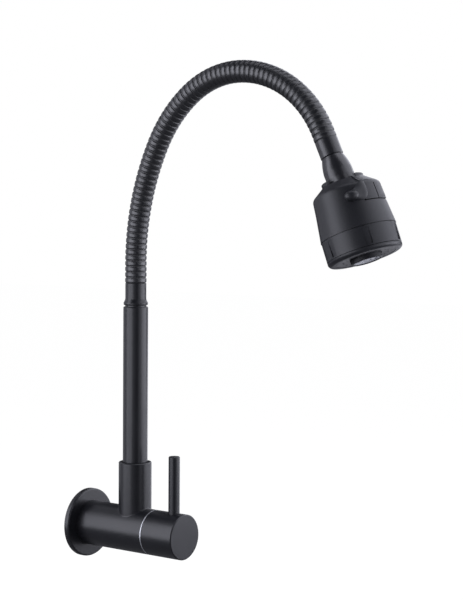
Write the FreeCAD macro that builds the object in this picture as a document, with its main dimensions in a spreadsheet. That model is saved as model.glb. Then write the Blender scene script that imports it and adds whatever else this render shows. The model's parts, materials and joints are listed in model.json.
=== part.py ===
import FreeCAD, Part

import math
import os

import Sketcher

# Wall-mounted kitchen tap with a ribbed, bendable gooseneck and a two-way spray head.
# Millimetres. The wall is the plane Y = 0, the tap stands out along -Y, +Z is up.
# The origin is the centre of the flange's wall face, on the axis of the barrel.
# Lengths were measured on the photograph, with the 22 mm spout tube as the scale.

# Driving sizes: name, value, what it is
SIZES = [
    ("FlangeRadius", 30.8, "wall flange, outer"),
    ("FlangeThickness", 4.8, "wall flange, how far it stands off the wall"),
    ("FlangeSheet", 1.6, "wall flange, thickness of its face"),
    ("FlangeRim", 2.0, "wall flange, width of the rim on the wall"),
    ("FlangeEdge", 1.4, "wall flange, rounding of the front edge"),
    ("BarrelRadius", 20.0, "barrel and handle, outer"),
    ("BarrelBack", 1.0, "barrel's rear face from the wall"),
    ("BarrelFront", 79.2, "barrel's front face from the wall"),
    ("ThreadRadius", 10.48, "inlet thread, major radius of a half-inch pipe thread"),
    ("ThreadLength", 18.0, "inlet thread beyond the wall plane"),
    ("InletBore", 6.5, "inlet waterway"),
    ("InletShank", 8.95, "inlet connector's shank in the barrel"),
    ("InletDepth", 16.0, "end of the shank's bore from the wall"),
    ("SeatFrom", 38.0, "cartridge seat from the wall"),
    ("ChamberRadius", 10.6, "cartridge chamber"),
    ("NoseRecess", 70.0, "start of the recess for the cartridge's flange"),
    ("NoseRadius", 14.0, "that recess, radius"),
    ("RingWidth", 0.9, "bright ring between barrel and handle"),
    ("PoleOut", 57.06, "spout tube's axis from the wall"),
    ("CollarRadius", 14.65, "socket for the spout, outer"),
    ("CollarTop", 60.9, "top of the socket above the barrel's axis"),
    ("CollarBlend", 1.2, "blend between the socket and the barrel"),
    ("EdgeBreak", 0.6, "small chamfers"),
    ("OutletBore", 6.0, "waterway into the spout"),
    ("TailFloor", 14.0, "floor of the bore for the swivel tail"),
    ("WasherSeat", 37.8, "step that carries the slip washer"),
    ("WasherThickness", 0.6, "slip washer"),
    ("BushDepth", 8.0, "length of the bush in the socket's mouth"),
    ("BushWall", 1.6, "wall of that bush"),
    ("Fit", 0.08, "radial running fit"),
    ("Seat", 0.05, "radial gap of pieces that stay together"),
    ("Gap", 0.3, "gap between pieces that move past each other"),
    ("PoleRadius", 11.0, "spout tube, outer"),
    ("PoleWall", 1.2, "spout tube, wall"),
    ("PoleTop", 199.2, "top of the straight tube"),
    ("PoleRound", 0.9, "rounding of the tube's top edge"),
    ("TailRadius", 9.5, "swivel tail in its bore"),
    ("TailBottom", 15.0, "foot of the swivel tail"),
    ("TailInPole", 20.0, "length of the tail inside the tube"),
    ("RingSection", 0.8, "radius of an O-ring's section"),
    ("LowerRingAt", 19.2, "lower O-ring, height"),
    ("UpperRingAt", 33.4, "upper O-ring, height"),
    ("ScrewAt", 27.0, "retaining screw, height"),
    ("ScrewRadius", 1.95, "M4 set screw"),
    ("ScrewTip", 8.75, "screw's tip from the tube's axis"),
    ("LugGroove", 8.3, "bottom of the groove that the screw runs in"),
    ("AdapterTop", 220.1, "shoulder that the hose stands on"),
    ("AdapterWaist", 9.3, "hose adapter, plain part"),
    ("AdapterNeck", 9.4, "hose adapter, neck under the bead"),
    ("BeadRadius", 10.8, "hose adapter, bead"),
    ("BeadAt", 202.0, "bead's height"),
    ("AdapterInPole", 17.0, "length of the adapter inside the tube"),
    ("WaterBore", 4.0, "waterway through adapter, ferrule and stud"),
    ("StubRadius", 5.9, "hose tails of adapter and ferrule"),
    ("StubLength", 12.0, "length of a hose tail"),
    ("HoseCrest", 9.5, "hose over the ribs"),
    ("HoseRoot", 8.65, "hose between the ribs"),
    ("HoseBore", 6.2, "hose, bore"),
    ("RibCount", 70, "ribs on the hose"),
    ("RibCrestShare", 0.66, "share of a rib's pitch that is crest"),
    ("RibFlankShare", 0.10, "share of a rib's pitch that is one flank"),
    ("HoseFoot", 18.0, "straight start of the hose"),
    ("HoseEnd", 6.2, "straight end of the hose"),
    ("ArcLength", 54.07, "length of each arc of the gooseneck"),
    ("TurnOne", 13.5, "gooseneck, turn of the first arc in degrees"),
    ("TurnTwo", 13.8, "second arc"),
    ("TurnThree", 25.4, "third arc"),
    ("TurnFour", 35.6, "fourth arc"),
    ("TurnFive", 32.8, "fifth arc"),
    ("TurnSix", 33.7, "sixth arc"),
    ("HandleFrom", 80.4, "handle's rear face from the wall"),
    ("HandleFront", 114.0, "handle's front face from the wall"),
    ("HandleBevel", 0.8, "bevel round the handle's front face"),
    ("HandleHollow", 17.2, "handle's hollow, radius"),
    ("HollowEnd", 96.0, "end of that hollow from the wall"),
    ("HubRadius", 8.5, "handle's hub"),
    ("HubFrom", 82.0, "start of the hub from the wall"),
    ("LeverOut", 101.7, "lever's axis from the wall"),
    ("LeverRadius", 4.97, "lever"),
    ("LeverTop", 69.9, "top of the lever"),
    ("LeverFoot", 14.2, "shoulder of the lever in its socket"),
    ("LeverThread", 3.0, "lever's threaded end"),
    ("LeverThreadFoot", 6.0, "end of that thread"),
    ("GrubAt", 89.0, "handle's grub screw from the wall"),
    ("SpindleHead", 4.0, "spindle in the hub"),
    ("SpindleShaft", 4.5, "spindle in the cartridge"),
    ("SpindleEnd", 93.5, "end of the spindle from the wall"),
    ("DiscRadius", 8.3, "ceramic discs"),
    ("DiscThickness", 3.0, "ceramic discs"),
    ("DiscHole", 2.3, "waterways in the discs"),
    ("DiscHoleAt", 4.6, "waterways, distance from the axis"),
    ("SealThickness", 2.0, "rubber seal under the cartridge"),
    ("CartridgeRadius", 10.4, "cartridge in its chamber"),
    ("CartridgeWaist", 9.6, "cartridge beside the outlet"),
    ("CartridgeFlange", 13.6, "cartridge's flange"),
    ("CartridgeFront", 78.4, "cartridge's front end from the wall"),
    ("HexAcross", 17.0, "cartridge's hexagon, across its flats"),
    ("FerruleLength", 15.0, "ferrule below the hose"),
    ("ShankLength", 9.0, "ferrule's thread inside the nut"),
    ("FerruleRadius", 9.4, "ferrule"),
    ("ShankRadius", 8.0, "ferrule and ball stud inside the nut"),
    ("HeadDatum", 14.8, "hose end to the datum of the nut"),
    ("HeadTilt", 4.4, "how far the head hangs from the nut's axis, degrees"),
    ("NutTop", -0.5, "nut's top above the datum, negative where it is below"),
    ("NutTopRadius", 9.0, "nut at its top"),
    ("NutRadius", 11.8, "nut, widest"),
    ("NutWideFrom", 12.5, "start of the widest stretch below the datum"),
    ("NutWideTo", 19.0, "end of the widest stretch"),
    ("NutBottom", 24.2, "nut's lower face"),
    ("NutBottomRadius", 10.8, "nut at its lower face"),
    ("NutFloor", 3.0, "thickness of the nut's floor"),
    ("NutFlank", 45.0, "curve of the nut's upper flank"),
    ("BallRadius", 7.0, "ball"),
    ("BallAt", 30.0, "ball's centre below the datum"),
    ("StemRadius", 4.5, "ball's stem"),
    ("BallBore", 3.0, "waterway through the ball"),
    ("SeatRadius", 10.04, "ball seats, outer"),
    ("SeatLip", 2.6, "upper seat's lip above the ball's centre"),
    ("SeatDepth", 6.0, "lower seat's floor below the ball's centre"),
    ("CollarLip", 8.6, "retaining collar's mouth"),
    ("NeckTop", 27.1, "retaining collar's top"),
    ("NeckRadius", 12.8, "retaining collar, outer"),
    ("NeckBottom", 39.6, "retaining collar's foot"),
    ("GasketThickness", 1.7, "gasket under the ball seats"),
    ("WellRadius", 17.3, "well for the selector's ring"),
    ("WellFloor", 26.7, "floor of that well"),
    ("ShellTop", 24.0, "top of the head's shell"),
    ("ShoulderInset", 2.7, "start of the shoulder's curve inside the waist"),
    ("ShoulderFrom", 30.3, "height of that point below the datum"),
    ("SideTaper", 0.9, "top of the shell's side inside the waist"),
    ("SideFrom", 33.5, "height of that point"),
    ("WaistRadius", 28.7, "shell's side beside the selector"),
    ("WaistAt", 44.0, "height of that point"),
    ("SkirtProud", 0.4, "shell's side at the seam over the grip ring"),
    ("SeamAt", 66.4, "seam between shell and grip ring"),
    ("ShoulderCurve", 4.5, "curve of the shoulder"),
    ("SideCurve", 90.0, "curve of the shell's side"),
    ("SpigotEnd", 78.8, "end of the shell's spigot inside the grip ring"),
    ("SpigotWall", 2.6, "wall of that spigot, round the lower cavity"),
    ("CavityFrom", 52.0, "top of the lower cavity"),
    ("RecessWall", 2.5, "wall between the recess and the upper cavity"),
    ("CoreFrom", 40.2, "top of that cavity"),
    ("RecessDrop", 2.8, "how far the recess's floor drops towards the wing"),
    ("RecessEnd", 47.5, "recess's lower edge"),
    ("WingCentre", 96.0, "wing, degrees round the head"),
    ("WingAngle", 53.0, "wing's width in degrees"),
    ("WingProud", 0.9, "wing over the shell's surface"),
    ("WingGroove", 0.6, "groove down the wing"),
    ("WingThickness", 6.2, "waist to the recess behind the wing"),
    ("SelectorTurn", 40.0, "selector's travel in degrees"),
    ("RecessSpare", 1.2, "recess beyond the wing at each stop, degrees"),
    ("FingerGap", 0.6, "finger over the shell's surface"),
    ("FingerRootAt", 9.0, "finger's root inside the wing's edge, degrees"),
    ("FingerRootTop", 35.0, "finger at its root, upper edge below the datum"),
    ("FingerRootEnd", 44.6, "finger at its root, lower edge"),
    ("FingerRootRise", 0.8, "finger at its root, bulge"),
    ("FingerRootSink", 1.9, "finger's root below its inner side, inside the wing"),
    ("FingerEdgeTop", 31.0, "finger at the wing's edge, upper edge"),
    ("FingerEdgeEnd", 46.4, "finger at the wing's edge, lower edge"),
    ("FingerEdgeRise", 1.4, "finger at the wing's edge, bulge"),
    ("FingerWebAt", 10.0, "finger's web beyond the wing's edge, degrees"),
    ("FingerWebTop", 34.5, "finger's web, upper edge"),
    ("FingerWebEnd", 46.0, "finger's web, lower edge"),
    ("FingerWebRise", 2.4, "finger's web, bulge"),
    ("FingerKnobAt", 20.5, "finger's knob beyond the wing's edge, degrees"),
    ("FingerKnobTop", 37.4, "finger's knob, upper edge"),
    ("FingerKnobEnd", 45.4, "finger's knob, lower edge"),
    ("FingerKnobRise", 4.3, "finger's knob, bulge"),
    ("FingerTipAt", 27.5, "finger's tip beyond the wing's edge, degrees"),
    ("FingerTipTop", 38.6, "finger's tip, upper edge"),
    ("FingerTipEnd", 44.4, "finger's tip, lower edge"),
    ("FingerTipRise", 2.9, "finger's tip, bulge"),
    ("FingerEndAt", 30.0, "finger's end beyond the wing's edge, degrees"),
    ("FingerEndTop", 40.2, "finger's end, upper edge"),
    ("FingerEndEnd", 42.8, "finger's end, lower edge"),
    ("FingerEndRise", 1.0, "finger's end, bulge"),
    ("YokeCentre", -29.0, "selector's rear wall, degrees round the head"),
    ("YokeAngle", 272.0, "rear wall's width in degrees"),
    ("YokeTop", 21.0, "rear wall's top below the datum"),
    ("YokeInner", 14.6, "rear wall's inner side"),
    ("RingTop", 24.3, "selector ring's top"),
    ("GripRadius", 30.8, "grip ring, outer"),
    ("GripWall", 2.2, "grip ring's wall round the shell's spigot"),
    ("GripEnd", 87.0, "grip ring's lower face"),
    ("GripRound", 3.0, "grip ring's lower rounding"),
    ("GripShelf", 6.0, "grip ring's lower face, from its outer side to its mouth"),
    ("GripLip", 82.6, "grip ring's inner step"),
    ("GripLineAt", 83.2, "line round the grip ring above its rounding"),
    ("GripLine", 0.5, "that line, width and depth"),
    ("GrooveCount", 6, "finger grooves round the grip ring"),
    ("GrooveAngle", 10.5, "width of a finger groove in degrees"),
    ("GrooveDepth", 0.9, "depth of the finger grooves at their lower end"),
    ("GrooveFrom", 68.4, "upper end of the finger grooves"),
    ("GrooveTo", 82.0, "lower end of the finger grooves"),
    ("GroovePhase", 17.5, "first finger groove, degrees round the head"),
    ("FaceSpare", 0.1, "spray face's edge inside the spigot's radius"),
    ("FaceThickness", 3.2, "spray face's edge"),
    ("FaceFront", 85.2, "spray face's front"),
    ("SprayCount", 16, "spray holes"),
    ("SprayHole", 0.8, "spray hole, radius"),
    ("SprayAt", 19.0, "spray holes, distance from the axis"),
    ("NozzleRadius", 13.0, "aerator housing"),
    ("NozzleEnd", 90.0, "aerator housing's lower face"),
    ("NozzleWall", 1.6, "aerator housing's wall"),
    ("NozzleFlange", 15.0, "aerator housing's flange"),
    ("InsertDrop", 0.7, "aerator insert behind the housing's rim"),
    ("CoreTube", 9.0, "water core's tube"),
    ("PlateSpare", 0.4, "water core's lower plate inside the lower cavity"),
    ("CorePlateThickness", 3.6, "water core's plates"),
]


class Size:
    """A number kept together with the expression that drives it in the document."""

    def __init__(self, number, text):
        self.number = float(number)
        self.text = text

    def __add__(self, other):
        other = as_size(other)
        return Size(self.number + other.number, f"({self.text} + {other.text})")

    def __sub__(self, other):
        other = as_size(other)
        return Size(self.number - other.number, f"({self.text} - {other.text})")

    def __mul__(self, other):
        other = as_size(other)
        return Size(self.number * other.number, f"({self.text} * {other.text})")

    def __truediv__(self, other):
        other = as_size(other)
        return Size(self.number / other.number, f"({self.text} / {other.text})")

    def __neg__(self):
        return Size(-self.number, f"(0 - {self.text})")

    def beside(self, other):
        """The third side: the square root of this squared less the other squared."""
        other = as_size(other)
        number = math.sqrt(self.number ** 2 - other.number ** 2)
        return Size(number, f"sqrt({self.text} * {self.text} - {other.text} * {other.text})")


def as_size(value):
    return value if isinstance(value, Size) else Size(value, repr(float(value)))


# Document and sheet
doc = FreeCAD.newDocument("KitchenTap")
sheet = doc.addObject("Spreadsheet::Sheet", "Sizes")


class Values:
    pass


v = Values()
for row, (name, number, meaning) in enumerate(SIZES, start=1):
    sheet.set(f"A{row}", name)
    sheet.set(f"B{row}", str(number))
    sheet.set(f"C{row}", meaning)
    sheet.setAlias(f"B{row}", name)
    setattr(v, name, Size(number, f"Sizes.{name}"))
doc.recompute()

ZERO = as_size(0)


# Frames: along the barrel, up the spout tube, and down the head
def barrel_frame():
    return FreeCAD.Placement(FreeCAD.Vector(0, 0, 0), FreeCAD.Rotation(FreeCAD.Vector(1, 0, 0), 90))


def upright_frame(out):
    return FreeCAD.Placement(FreeCAD.Vector(0, -out.number, 0), FreeCAD.Rotation())


def route():
    """The hose's centreline as (kind, start, end, radius, turn, heading) in the plane X = 0."""
    place = FreeCAD.Vector(0, -v.PoleOut.number, v.AdapterTop.number)
    heading = 90.0
    steps = []

    def along(angle):
        return FreeCAD.Vector(0, -math.cos(math.radians(angle)), math.sin(math.radians(angle)))

    end = place + along(heading) * v.HoseFoot.number
    steps.append(("run", place, end, 0.0, 0.0, heading))
    place = end
    for turn in (v.TurnOne, v.TurnTwo, v.TurnThree, v.TurnFour, v.TurnFive, v.TurnSix):
        radius = v.ArcLength.number / math.radians(turn.number)
        centre = place + along(heading - 90) * radius
        end = centre - along(heading - 90 - turn.number) * radius
        steps.append(("arc", place, end, radius, turn.number, heading))
        heading -= turn.number
        place = end
    end = place + along(heading) * v.HoseEnd.number
    steps.append(("run", place, end, 0.0, 0.0, heading))
    return steps, end, heading, along


ROUTE, HOSE_END, HEADING, ALONG = route()


def frame_along(heading, origin):
    turn = FreeCAD.Rotation(FreeCAD.Vector(1, 0, 0), 90.0 - heading)
    return FreeCAD.Placement(origin, turn)


def nut_frame():
    """Local Z runs on along the hose's end, from the datum of the nut."""
    return frame_along(HEADING, HOSE_END + ALONG(HEADING) * v.HeadDatum.number)


def ball_centre():
    return HOSE_END + ALONG(HEADING) * (v.HeadDatum.number + v.BallAt.number)


def head_frame():
    """Local Z runs down the head, which is turned about the ball's centre to where it hangs."""
    heading = HEADING - v.HeadTilt.number
    return frame_along(heading, ball_centre() - ALONG(heading) * v.BallAt.number)


# Drawing helpers
made = []


def new_body(name, frame):
    body = doc.addObject("PartDesign::Body", name)
    body.Label = name
    body.Placement = frame
    made.append(body)
    return body


def plane(body, role):
    for feature in body.Origin.OriginFeatures:
        if feature.Role == role:
            return feature
    raise ValueError(role)


def new_sketch(body, name, role, offset=None, angle=None):
    """A sketch on one of the body's planes, moved along its normal or turned about its upright."""
    sketch = body.newObject("Sketcher::SketchObject", name)
    sketch.AttachmentSupport = [(plane(body, role), "")]
    sketch.MapMode = "FlatFace"
    base = FreeCAD.Vector(0, 0, offset.number if offset else 0)
    turn = FreeCAD.Rotation(FreeCAD.Vector(0, 1, 0), angle.number if angle else 0)
    sketch.AttachmentOffset = FreeCAD.Placement(base, turn)
    if offset:
        sketch.setExpression("AttachmentOffset.Base.z", offset.text)
    if angle:
        sketch.setExpression("AttachmentOffset.Rotation.Angle", angle.text)
    return sketch


def bind(sketch, kind, *args):
    """A dimension with its number, driven by its expression."""
    size = args[-1]
    index = sketch.addConstraint(Sketcher.Constraint(kind, *args[:-1], size.number))
    if "Sizes." in size.text:
        sketch.setExpression(f"Constraints[{index}]", size.text)


def pin_point(sketch, geo, pos, x, y):
    """Hold a point at (x, y), on an axis where one of them is nought."""
    if x is ZERO and y is ZERO:
        sketch.addConstraint(Sketcher.Constraint("Coincident", geo, pos, -1, 1))
        return
    if x is ZERO:
        sketch.addConstraint(Sketcher.Constraint("PointOnObject", geo, pos, -2))
    else:
        bind(sketch, "DistanceX", -1, 1, geo, pos, x)
    if y is ZERO:
        sketch.addConstraint(Sketcher.Constraint("PointOnObject", geo, pos, -1))
    else:
        bind(sketch, "DistanceY", -1, 1, geo, pos, y)


def arc_between(start, end, radius):
    """A minor arc; a positive radius turns left on the way from start to end."""
    a = FreeCAD.Vector(start[0], start[1], 0)
    b = FreeCAD.Vector(end[0], end[1], 0)
    chord = b - a
    size = abs(radius)
    lift = math.sqrt(max(size * size - chord.Length ** 2 / 4, 0.0))
    left = FreeCAD.Vector(-chord.y, chord.x, 0).normalize()
    centre = (a + b) * 0.5 + left * (lift if radius > 0 else -lift)
    first, last = (a, b) if radius > 0 else (b, a)
    begin = math.atan2(first.y - centre.y, first.x - centre.x)
    finish = math.atan2(last.y - centre.y, last.x - centre.x)
    circle = Part.Circle(centre, FreeCAD.Vector(0, 0, 1), size)
    return Part.ArcOfCircle(circle, begin, finish)


def outline(sketch, points):
    """A closed outline. A point is (x, y), or (x, y, radius, side) where an arc leads on from it;
    side 1 turns left and -1 turns right."""
    count = len(points)
    heads = []
    for i, point in enumerate(points):
        after = points[(i + 1) % count]
        start = (as_size(point[0]).number, as_size(point[1]).number)
        end = (as_size(after[0]).number, as_size(after[1]).number)
        if len(point) == 4:
            geo = sketch.addGeometry(arc_between(start, end, point[2].number * point[3]), False)
            heads.append((geo, 1, 2) if point[3] > 0 else (geo, 2, 1))
        else:
            line = Part.LineSegment(FreeCAD.Vector(*start, 0), FreeCAD.Vector(*end, 0))
            heads.append((sketch.addGeometry(line, False), 1, 2))
    for i in range(count):
        geo, start, end = heads[i]
        other, first, last = heads[(i + 1) % count]
        sketch.addConstraint(Sketcher.Constraint("Coincident", geo, end, other, first))
    for i, point in enumerate(points):
        geo, start, end = heads[i]
        pin_point(sketch, geo, start, point[0], point[1])
        if len(point) == 4:
            bind(sketch, "Radius", geo, point[2])


def turned(body, name, points, angle=None, at=None, cut=False):
    """Turn an outline (radius, height) about the body's Z axis, all round or through an angle."""
    sketch = new_sketch(body, name + "Profile", "XZ_Plane", angle=at)
    outline(sketch, points)
    kind = "PartDesign::Groove" if cut else "PartDesign::Revolution"
    feature = body.newObject(kind, name)
    feature.Profile = sketch
    feature.ReferenceAxis = (sketch, ["V_Axis"])
    if angle is None:
        feature.Angle = 360
    else:
        feature.Midplane = True
        feature.Angle = angle.number
        feature.setExpression("Angle", angle.text)
    sketch.Visibility = False
    return feature


def circle_sketch(body, name, role, offset, x, y, radius):
    sketch = new_sketch(body, name, role, offset=offset)
    centre = FreeCAD.Vector(x.number, y.number, 0)
    geo = sketch.addGeometry(Part.Circle(centre, FreeCAD.Vector(0, 0, 1), radius.number), False)
    pin_point(sketch, geo, 3, x, y)
    bind(sketch, "Radius", geo, radius)
    return sketch


def padded(body, name, sketch, length, backwards=False):
    pad = body.newObject("PartDesign::Pad", name)
    pad.Profile = sketch
    pad.Length = length.number
    pad.setExpression("Length", length.text)
    pad.Reversed = backwards
    return pad


def drilled(body, name, sketch, length=None, backwards=False):
    """Cut a sketch away, right through, or for a length."""
    pocket = body.newObject("PartDesign::Pocket", name)
    pocket.Profile = sketch
    pocket.Reversed = backwards
    if length is None:
        pocket.Type = 1
    else:
        pocket.Length = length.number
        pocket.setExpression("Length", length.text)
    return pocket


def patterned(body, name, feature, count):
    """Repeat a feature round the body's Z axis."""
    pattern = body.newObject("PartDesign::PolarPattern", name)
    pattern.Originals = [feature]
    pattern.Axis = (plane(body, "Z_Axis"), [""])
    pattern.Angle = 360
    pattern.Occurrences = int(count.number)
    pattern.setExpression("Occurrences", count.text)
    body.Tip = pattern
    return pattern


def simple_ring(name, frame, inner, outer, low, high):
    body = new_body(name, frame)
    turned(body, "Turn", [(inner, low), (outer, low), (outer, high), (inner, high)])
    return body


# Wall side: flange, inlet and valve body
def make_wall_flange():
    body = new_body("wall_flange", barrel_frame())
    bore = v.BarrelRadius + v.Seat
    lip = bore + v.FlangeSheet
    under = v.FlangeThickness - v.FlangeSheet
    turned(body, "Turn", [
        (v.FlangeRadius, ZERO),
        (v.FlangeRadius, v.FlangeThickness - v.FlangeEdge, v.FlangeEdge, 1),
        (v.FlangeRadius - v.FlangeEdge, v.FlangeThickness),
        (bore, v.FlangeThickness),
        (bore, v.BarrelBack),
        (lip, v.BarrelBack),
        (lip, under),
        (v.FlangeRadius - v.FlangeRim, under),
        (v.FlangeRadius - v.FlangeRim, ZERO),
    ])


def make_inlet_connector():
    body = new_body("inlet_connector", barrel_frame())
    relief = v.ThreadRadius - v.EdgeBreak * 2
    turned(body, "Turn", [
        (v.InletBore, -v.ThreadLength),
        (v.ThreadRadius - v.EdgeBreak, -v.ThreadLength),
        (v.ThreadRadius, v.EdgeBreak - v.ThreadLength),
        (v.ThreadRadius, v.BarrelBack - v.EdgeBreak),
        (relief, v.BarrelBack - v.EdgeBreak / 2),
        (relief, v.BarrelBack - v.Seat),
        (v.InletShank, v.BarrelBack - v.Seat),
        (v.InletShank, v.InletDepth - v.Seat),
        (v.InletBore, v.InletDepth - v.Seat),
    ])


def make_valve_body():
    body = new_body("valve_body", barrel_frame())
    turned(body, "Barrel", [
        (ZERO, v.BarrelBack),
        (v.BarrelRadius, v.BarrelBack),
        (v.BarrelRadius, v.BarrelFront),
        (ZERO, v.BarrelFront),
    ])
    # The sketch plane's normal points down, so the socket is padded backwards to rise
    ring = circle_sketch(body, "SocketCircle", "XZ_Plane", None, ZERO, v.PoleOut, v.CollarRadius)
    socket = padded(body, "Socket", ring, v.CollarTop, backwards=True)
    doc.recompute()
    # Blend where the socket grows out of the barrel, and break its top edge
    seam = []
    crown = []
    for number, edge in enumerate(socket.Shape.Edges, start=1):
        box = edge.BoundBox
        if box.YMin > 0 and box.YMax < v.BarrelRadius.number + 0.01 and box.YLength > 1:
            if box.XLength > v.CollarRadius.number:
                seam.append(f"Edge{number}")
        if abs(box.YMin - v.CollarTop.number) < 0.01 and box.YLength < 0.01:
            crown.append(f"Edge{number}")
    blend = body.newObject("PartDesign::Fillet", "Blend")
    blend.Base = (socket, seam)
    blend.Radius = v.CollarBlend.number
    blend.setExpression("Radius", v.CollarBlend.text)
    doc.recompute()
    crown = []
    for number, edge in enumerate(blend.Shape.Edges, start=1):
        box = edge.BoundBox
        if abs(box.YMin - v.CollarTop.number) < 0.01 and box.YLength < 0.01:
            crown.append(f"Edge{number}")
    rim = body.newObject("PartDesign::Chamfer", "Rim")
    rim.Base = (blend, crown)
    rim.Size = v.EdgeBreak.number
    rim.setExpression("Size", v.EdgeBreak.text)
    turned(body, "Waterway", [
        (ZERO, v.BarrelBack - 1),
        (v.InletShank + v.Seat, v.BarrelBack - 1),
        (v.InletShank + v.Seat, v.InletDepth),
        (v.InletBore, v.InletDepth),
        (v.InletBore, v.SeatFrom),
        (v.ChamberRadius, v.SeatFrom),
        (v.ChamberRadius, v.NoseRecess),
        (v.NoseRadius, v.NoseRecess),
        (v.NoseRadius, v.BarrelFront + 1),
        (ZERO, v.BarrelFront + 1),
    ], cut=True)
    bush = v.PoleRadius + v.Fit + v.BushWall
    for name, radius, floor in (
        ("Outlet", v.OutletBore, None),
        ("TailBore", v.TailRadius + v.Fit, v.TailFloor),
        ("PoleBore", v.PoleRadius + v.Gap, v.WasherSeat),
        ("BushBore", bush, v.CollarTop - v.EdgeBreak - v.BushDepth),
    ):
        level = -floor if floor else None
        hole = circle_sketch(body, name + "Circle", "XZ_Plane", level, ZERO, v.PoleOut, radius)
        drilled(body, name, hole)
    screw = circle_sketch(
        body, "ScrewCircle", "XY_Plane", v.PoleOut, ZERO, v.ScrewAt, v.ScrewRadius + v.Seat
    )
    drilled(body, "ScrewHole", screw)


def make_trim_ring():
    simple_ring(
        "trim_ring", barrel_frame(), v.NoseRadius + v.Gap, v.BarrelRadius,
        v.BarrelFront, v.BarrelFront + v.RingWidth,
    )


def make_collar_bush():
    top = v.CollarTop - v.EdgeBreak
    inner = v.PoleRadius + v.Fit
    simple_ring(
        "collar_bush", upright_frame(v.PoleOut), inner, inner + v.BushWall - v.Seat,
        top - v.BushDepth, top,
    )


def make_slip_washer():
    simple_ring(
        "slip_washer", upright_frame(v.PoleOut), v.TailRadius + v.Gap, v.PoleRadius + v.Gap - v.Seat,
        v.WasherSeat, v.WasherSeat + v.WasherThickness,
    )


def make_spout_screw():
    """The set screw in the back of the socket. Its axis is level, towards the wall."""
    frame = FreeCAD.Placement(
        FreeCAD.Vector(0, -v.PoleOut.number, v.ScrewAt.number),
        FreeCAD.Rotation(FreeCAD.Vector(1, 0, 0), -90),
    )
    body = new_body("spout_screw", frame)
    end = v.CollarRadius - v.EdgeBreak
    hexagon = v.ScrewRadius / 2
    turned(body, "Turn", [
        (ZERO, v.ScrewTip),
        (v.ScrewRadius - v.EdgeBreak, v.ScrewTip),
        (v.ScrewRadius, v.ScrewTip + v.EdgeBreak),
        (v.ScrewRadius, end),
        (hexagon, end),
        (hexagon, end - v.ScrewRadius),
        (ZERO, end - v.ScrewRadius),
    ])


# Quarter-turn cartridge
def cartridge_levels():
    seal = v.SeatFrom + v.SealThickness
    disc = seal + v.EdgeBreak
    moving = disc + v.DiscThickness + v.Seat
    flange = moving + v.DiscThickness + v.Seat
    return seal, disc, moving, flange


def make_cartridge_seal():
    seal, disc, moving, flange = cartridge_levels()
    simple_ring(
        "cartridge_seal", barrel_frame(), v.InletBore, v.ChamberRadius - v.Gap, v.SeatFrom, seal
    )


def make_disc(name, low, across):
    body = new_body(name, barrel_frame())
    turned(body, "Turn", [
        (ZERO, low),
        (v.DiscRadius, low),
        (v.DiscRadius, low + v.DiscThickness),
        (ZERO, low + v.DiscThickness),
    ])
    x, y = (v.DiscHoleAt, ZERO) if across else (ZERO, v.DiscHoleAt)
    sketch = circle_sketch(body, "Hole", "XY_Plane", low, x, y, v.DiscHole)
    hole = drilled(body, "Waterway", sketch, v.DiscThickness, backwards=True)
    doc.recompute()
    patterned(body, "Waterways", hole, as_size(2))


def make_cartridge_body():
    body = new_body("cartridge_body", barrel_frame())
    seal, disc, moving, flange = cartridge_levels()
    cup = v.DiscRadius + v.Gap
    shelf = flange + v.DiscThickness
    hexagon_from = v.NoseRecess + v.Seat + v.BallRadius / 2
    turned(body, "Turn", [
        (cup, seal),
        (v.CartridgeRadius, seal),
        (v.CartridgeRadius, disc + v.DiscThickness),
        (v.CartridgeWaist, disc + v.DiscThickness + v.EdgeBreak),
        (v.CartridgeWaist, v.NoseRecess - v.SealThickness * 2),
        (v.CartridgeRadius, v.NoseRecess - v.SealThickness * 2),
        (v.CartridgeRadius, v.NoseRecess + v.Seat),
        (v.CartridgeFlange, v.NoseRecess + v.Seat),
        (v.CartridgeFlange, hexagon_from),
        (v.SpindleShaft + v.Fit, hexagon_from),
        (v.SpindleShaft + v.Fit, shelf),
        (cup, shelf),
    ])
    # Hexagon for the spanner, with the spindle's bore
    half = v.HexAcross / 2
    corner = v.HexAcross * round(1 / math.sqrt(3), 6)
    sketch = new_sketch(body, "Hexagon", "XY_Plane", offset=hexagon_from)
    outline(sketch, [
        (corner, ZERO), (corner / 2, half), (-(corner / 2), half),
        (-corner, ZERO), (-(corner / 2), -half), (corner / 2, -half),
    ])
    padded(body, "HexagonPad", sketch, v.CartridgeFront - hexagon_from)
    bore = circle_sketch(
        body, "BoreCircle", "XY_Plane", hexagon_from - 1, ZERO, ZERO, v.SpindleShaft + v.Fit
    )
    drilled(body, "Bore", bore, backwards=True)
    # Two windows let the water out beside the discs
    window = circle_sketch(
        body, "WindowCircle", "XZ_Plane", None, ZERO, flange - v.Seat, v.DiscHole
    )
    side = drilled(body, "Windows", window)
    side.Midplane = True


def make_spindle():
    body = new_body("spindle", barrel_frame())
    seal, disc, moving, flange = cartridge_levels()
    top = flange + v.DiscThickness - v.Gap
    head = v.CartridgeFront + v.Gap
    turned(body, "Turn", [
        (ZERO, flange),
        (v.DiscRadius, flange),
        (v.DiscRadius, top),
        (v.SpindleShaft, top),
        (v.SpindleShaft, head),
        (v.SpindleHead, head + v.EdgeBreak),
        (v.SpindleHead, v.SpindleEnd - v.EdgeBreak),
        (v.SpindleHead - v.EdgeBreak, v.SpindleEnd),
        (ZERO, v.SpindleEnd),
    ])


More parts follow.
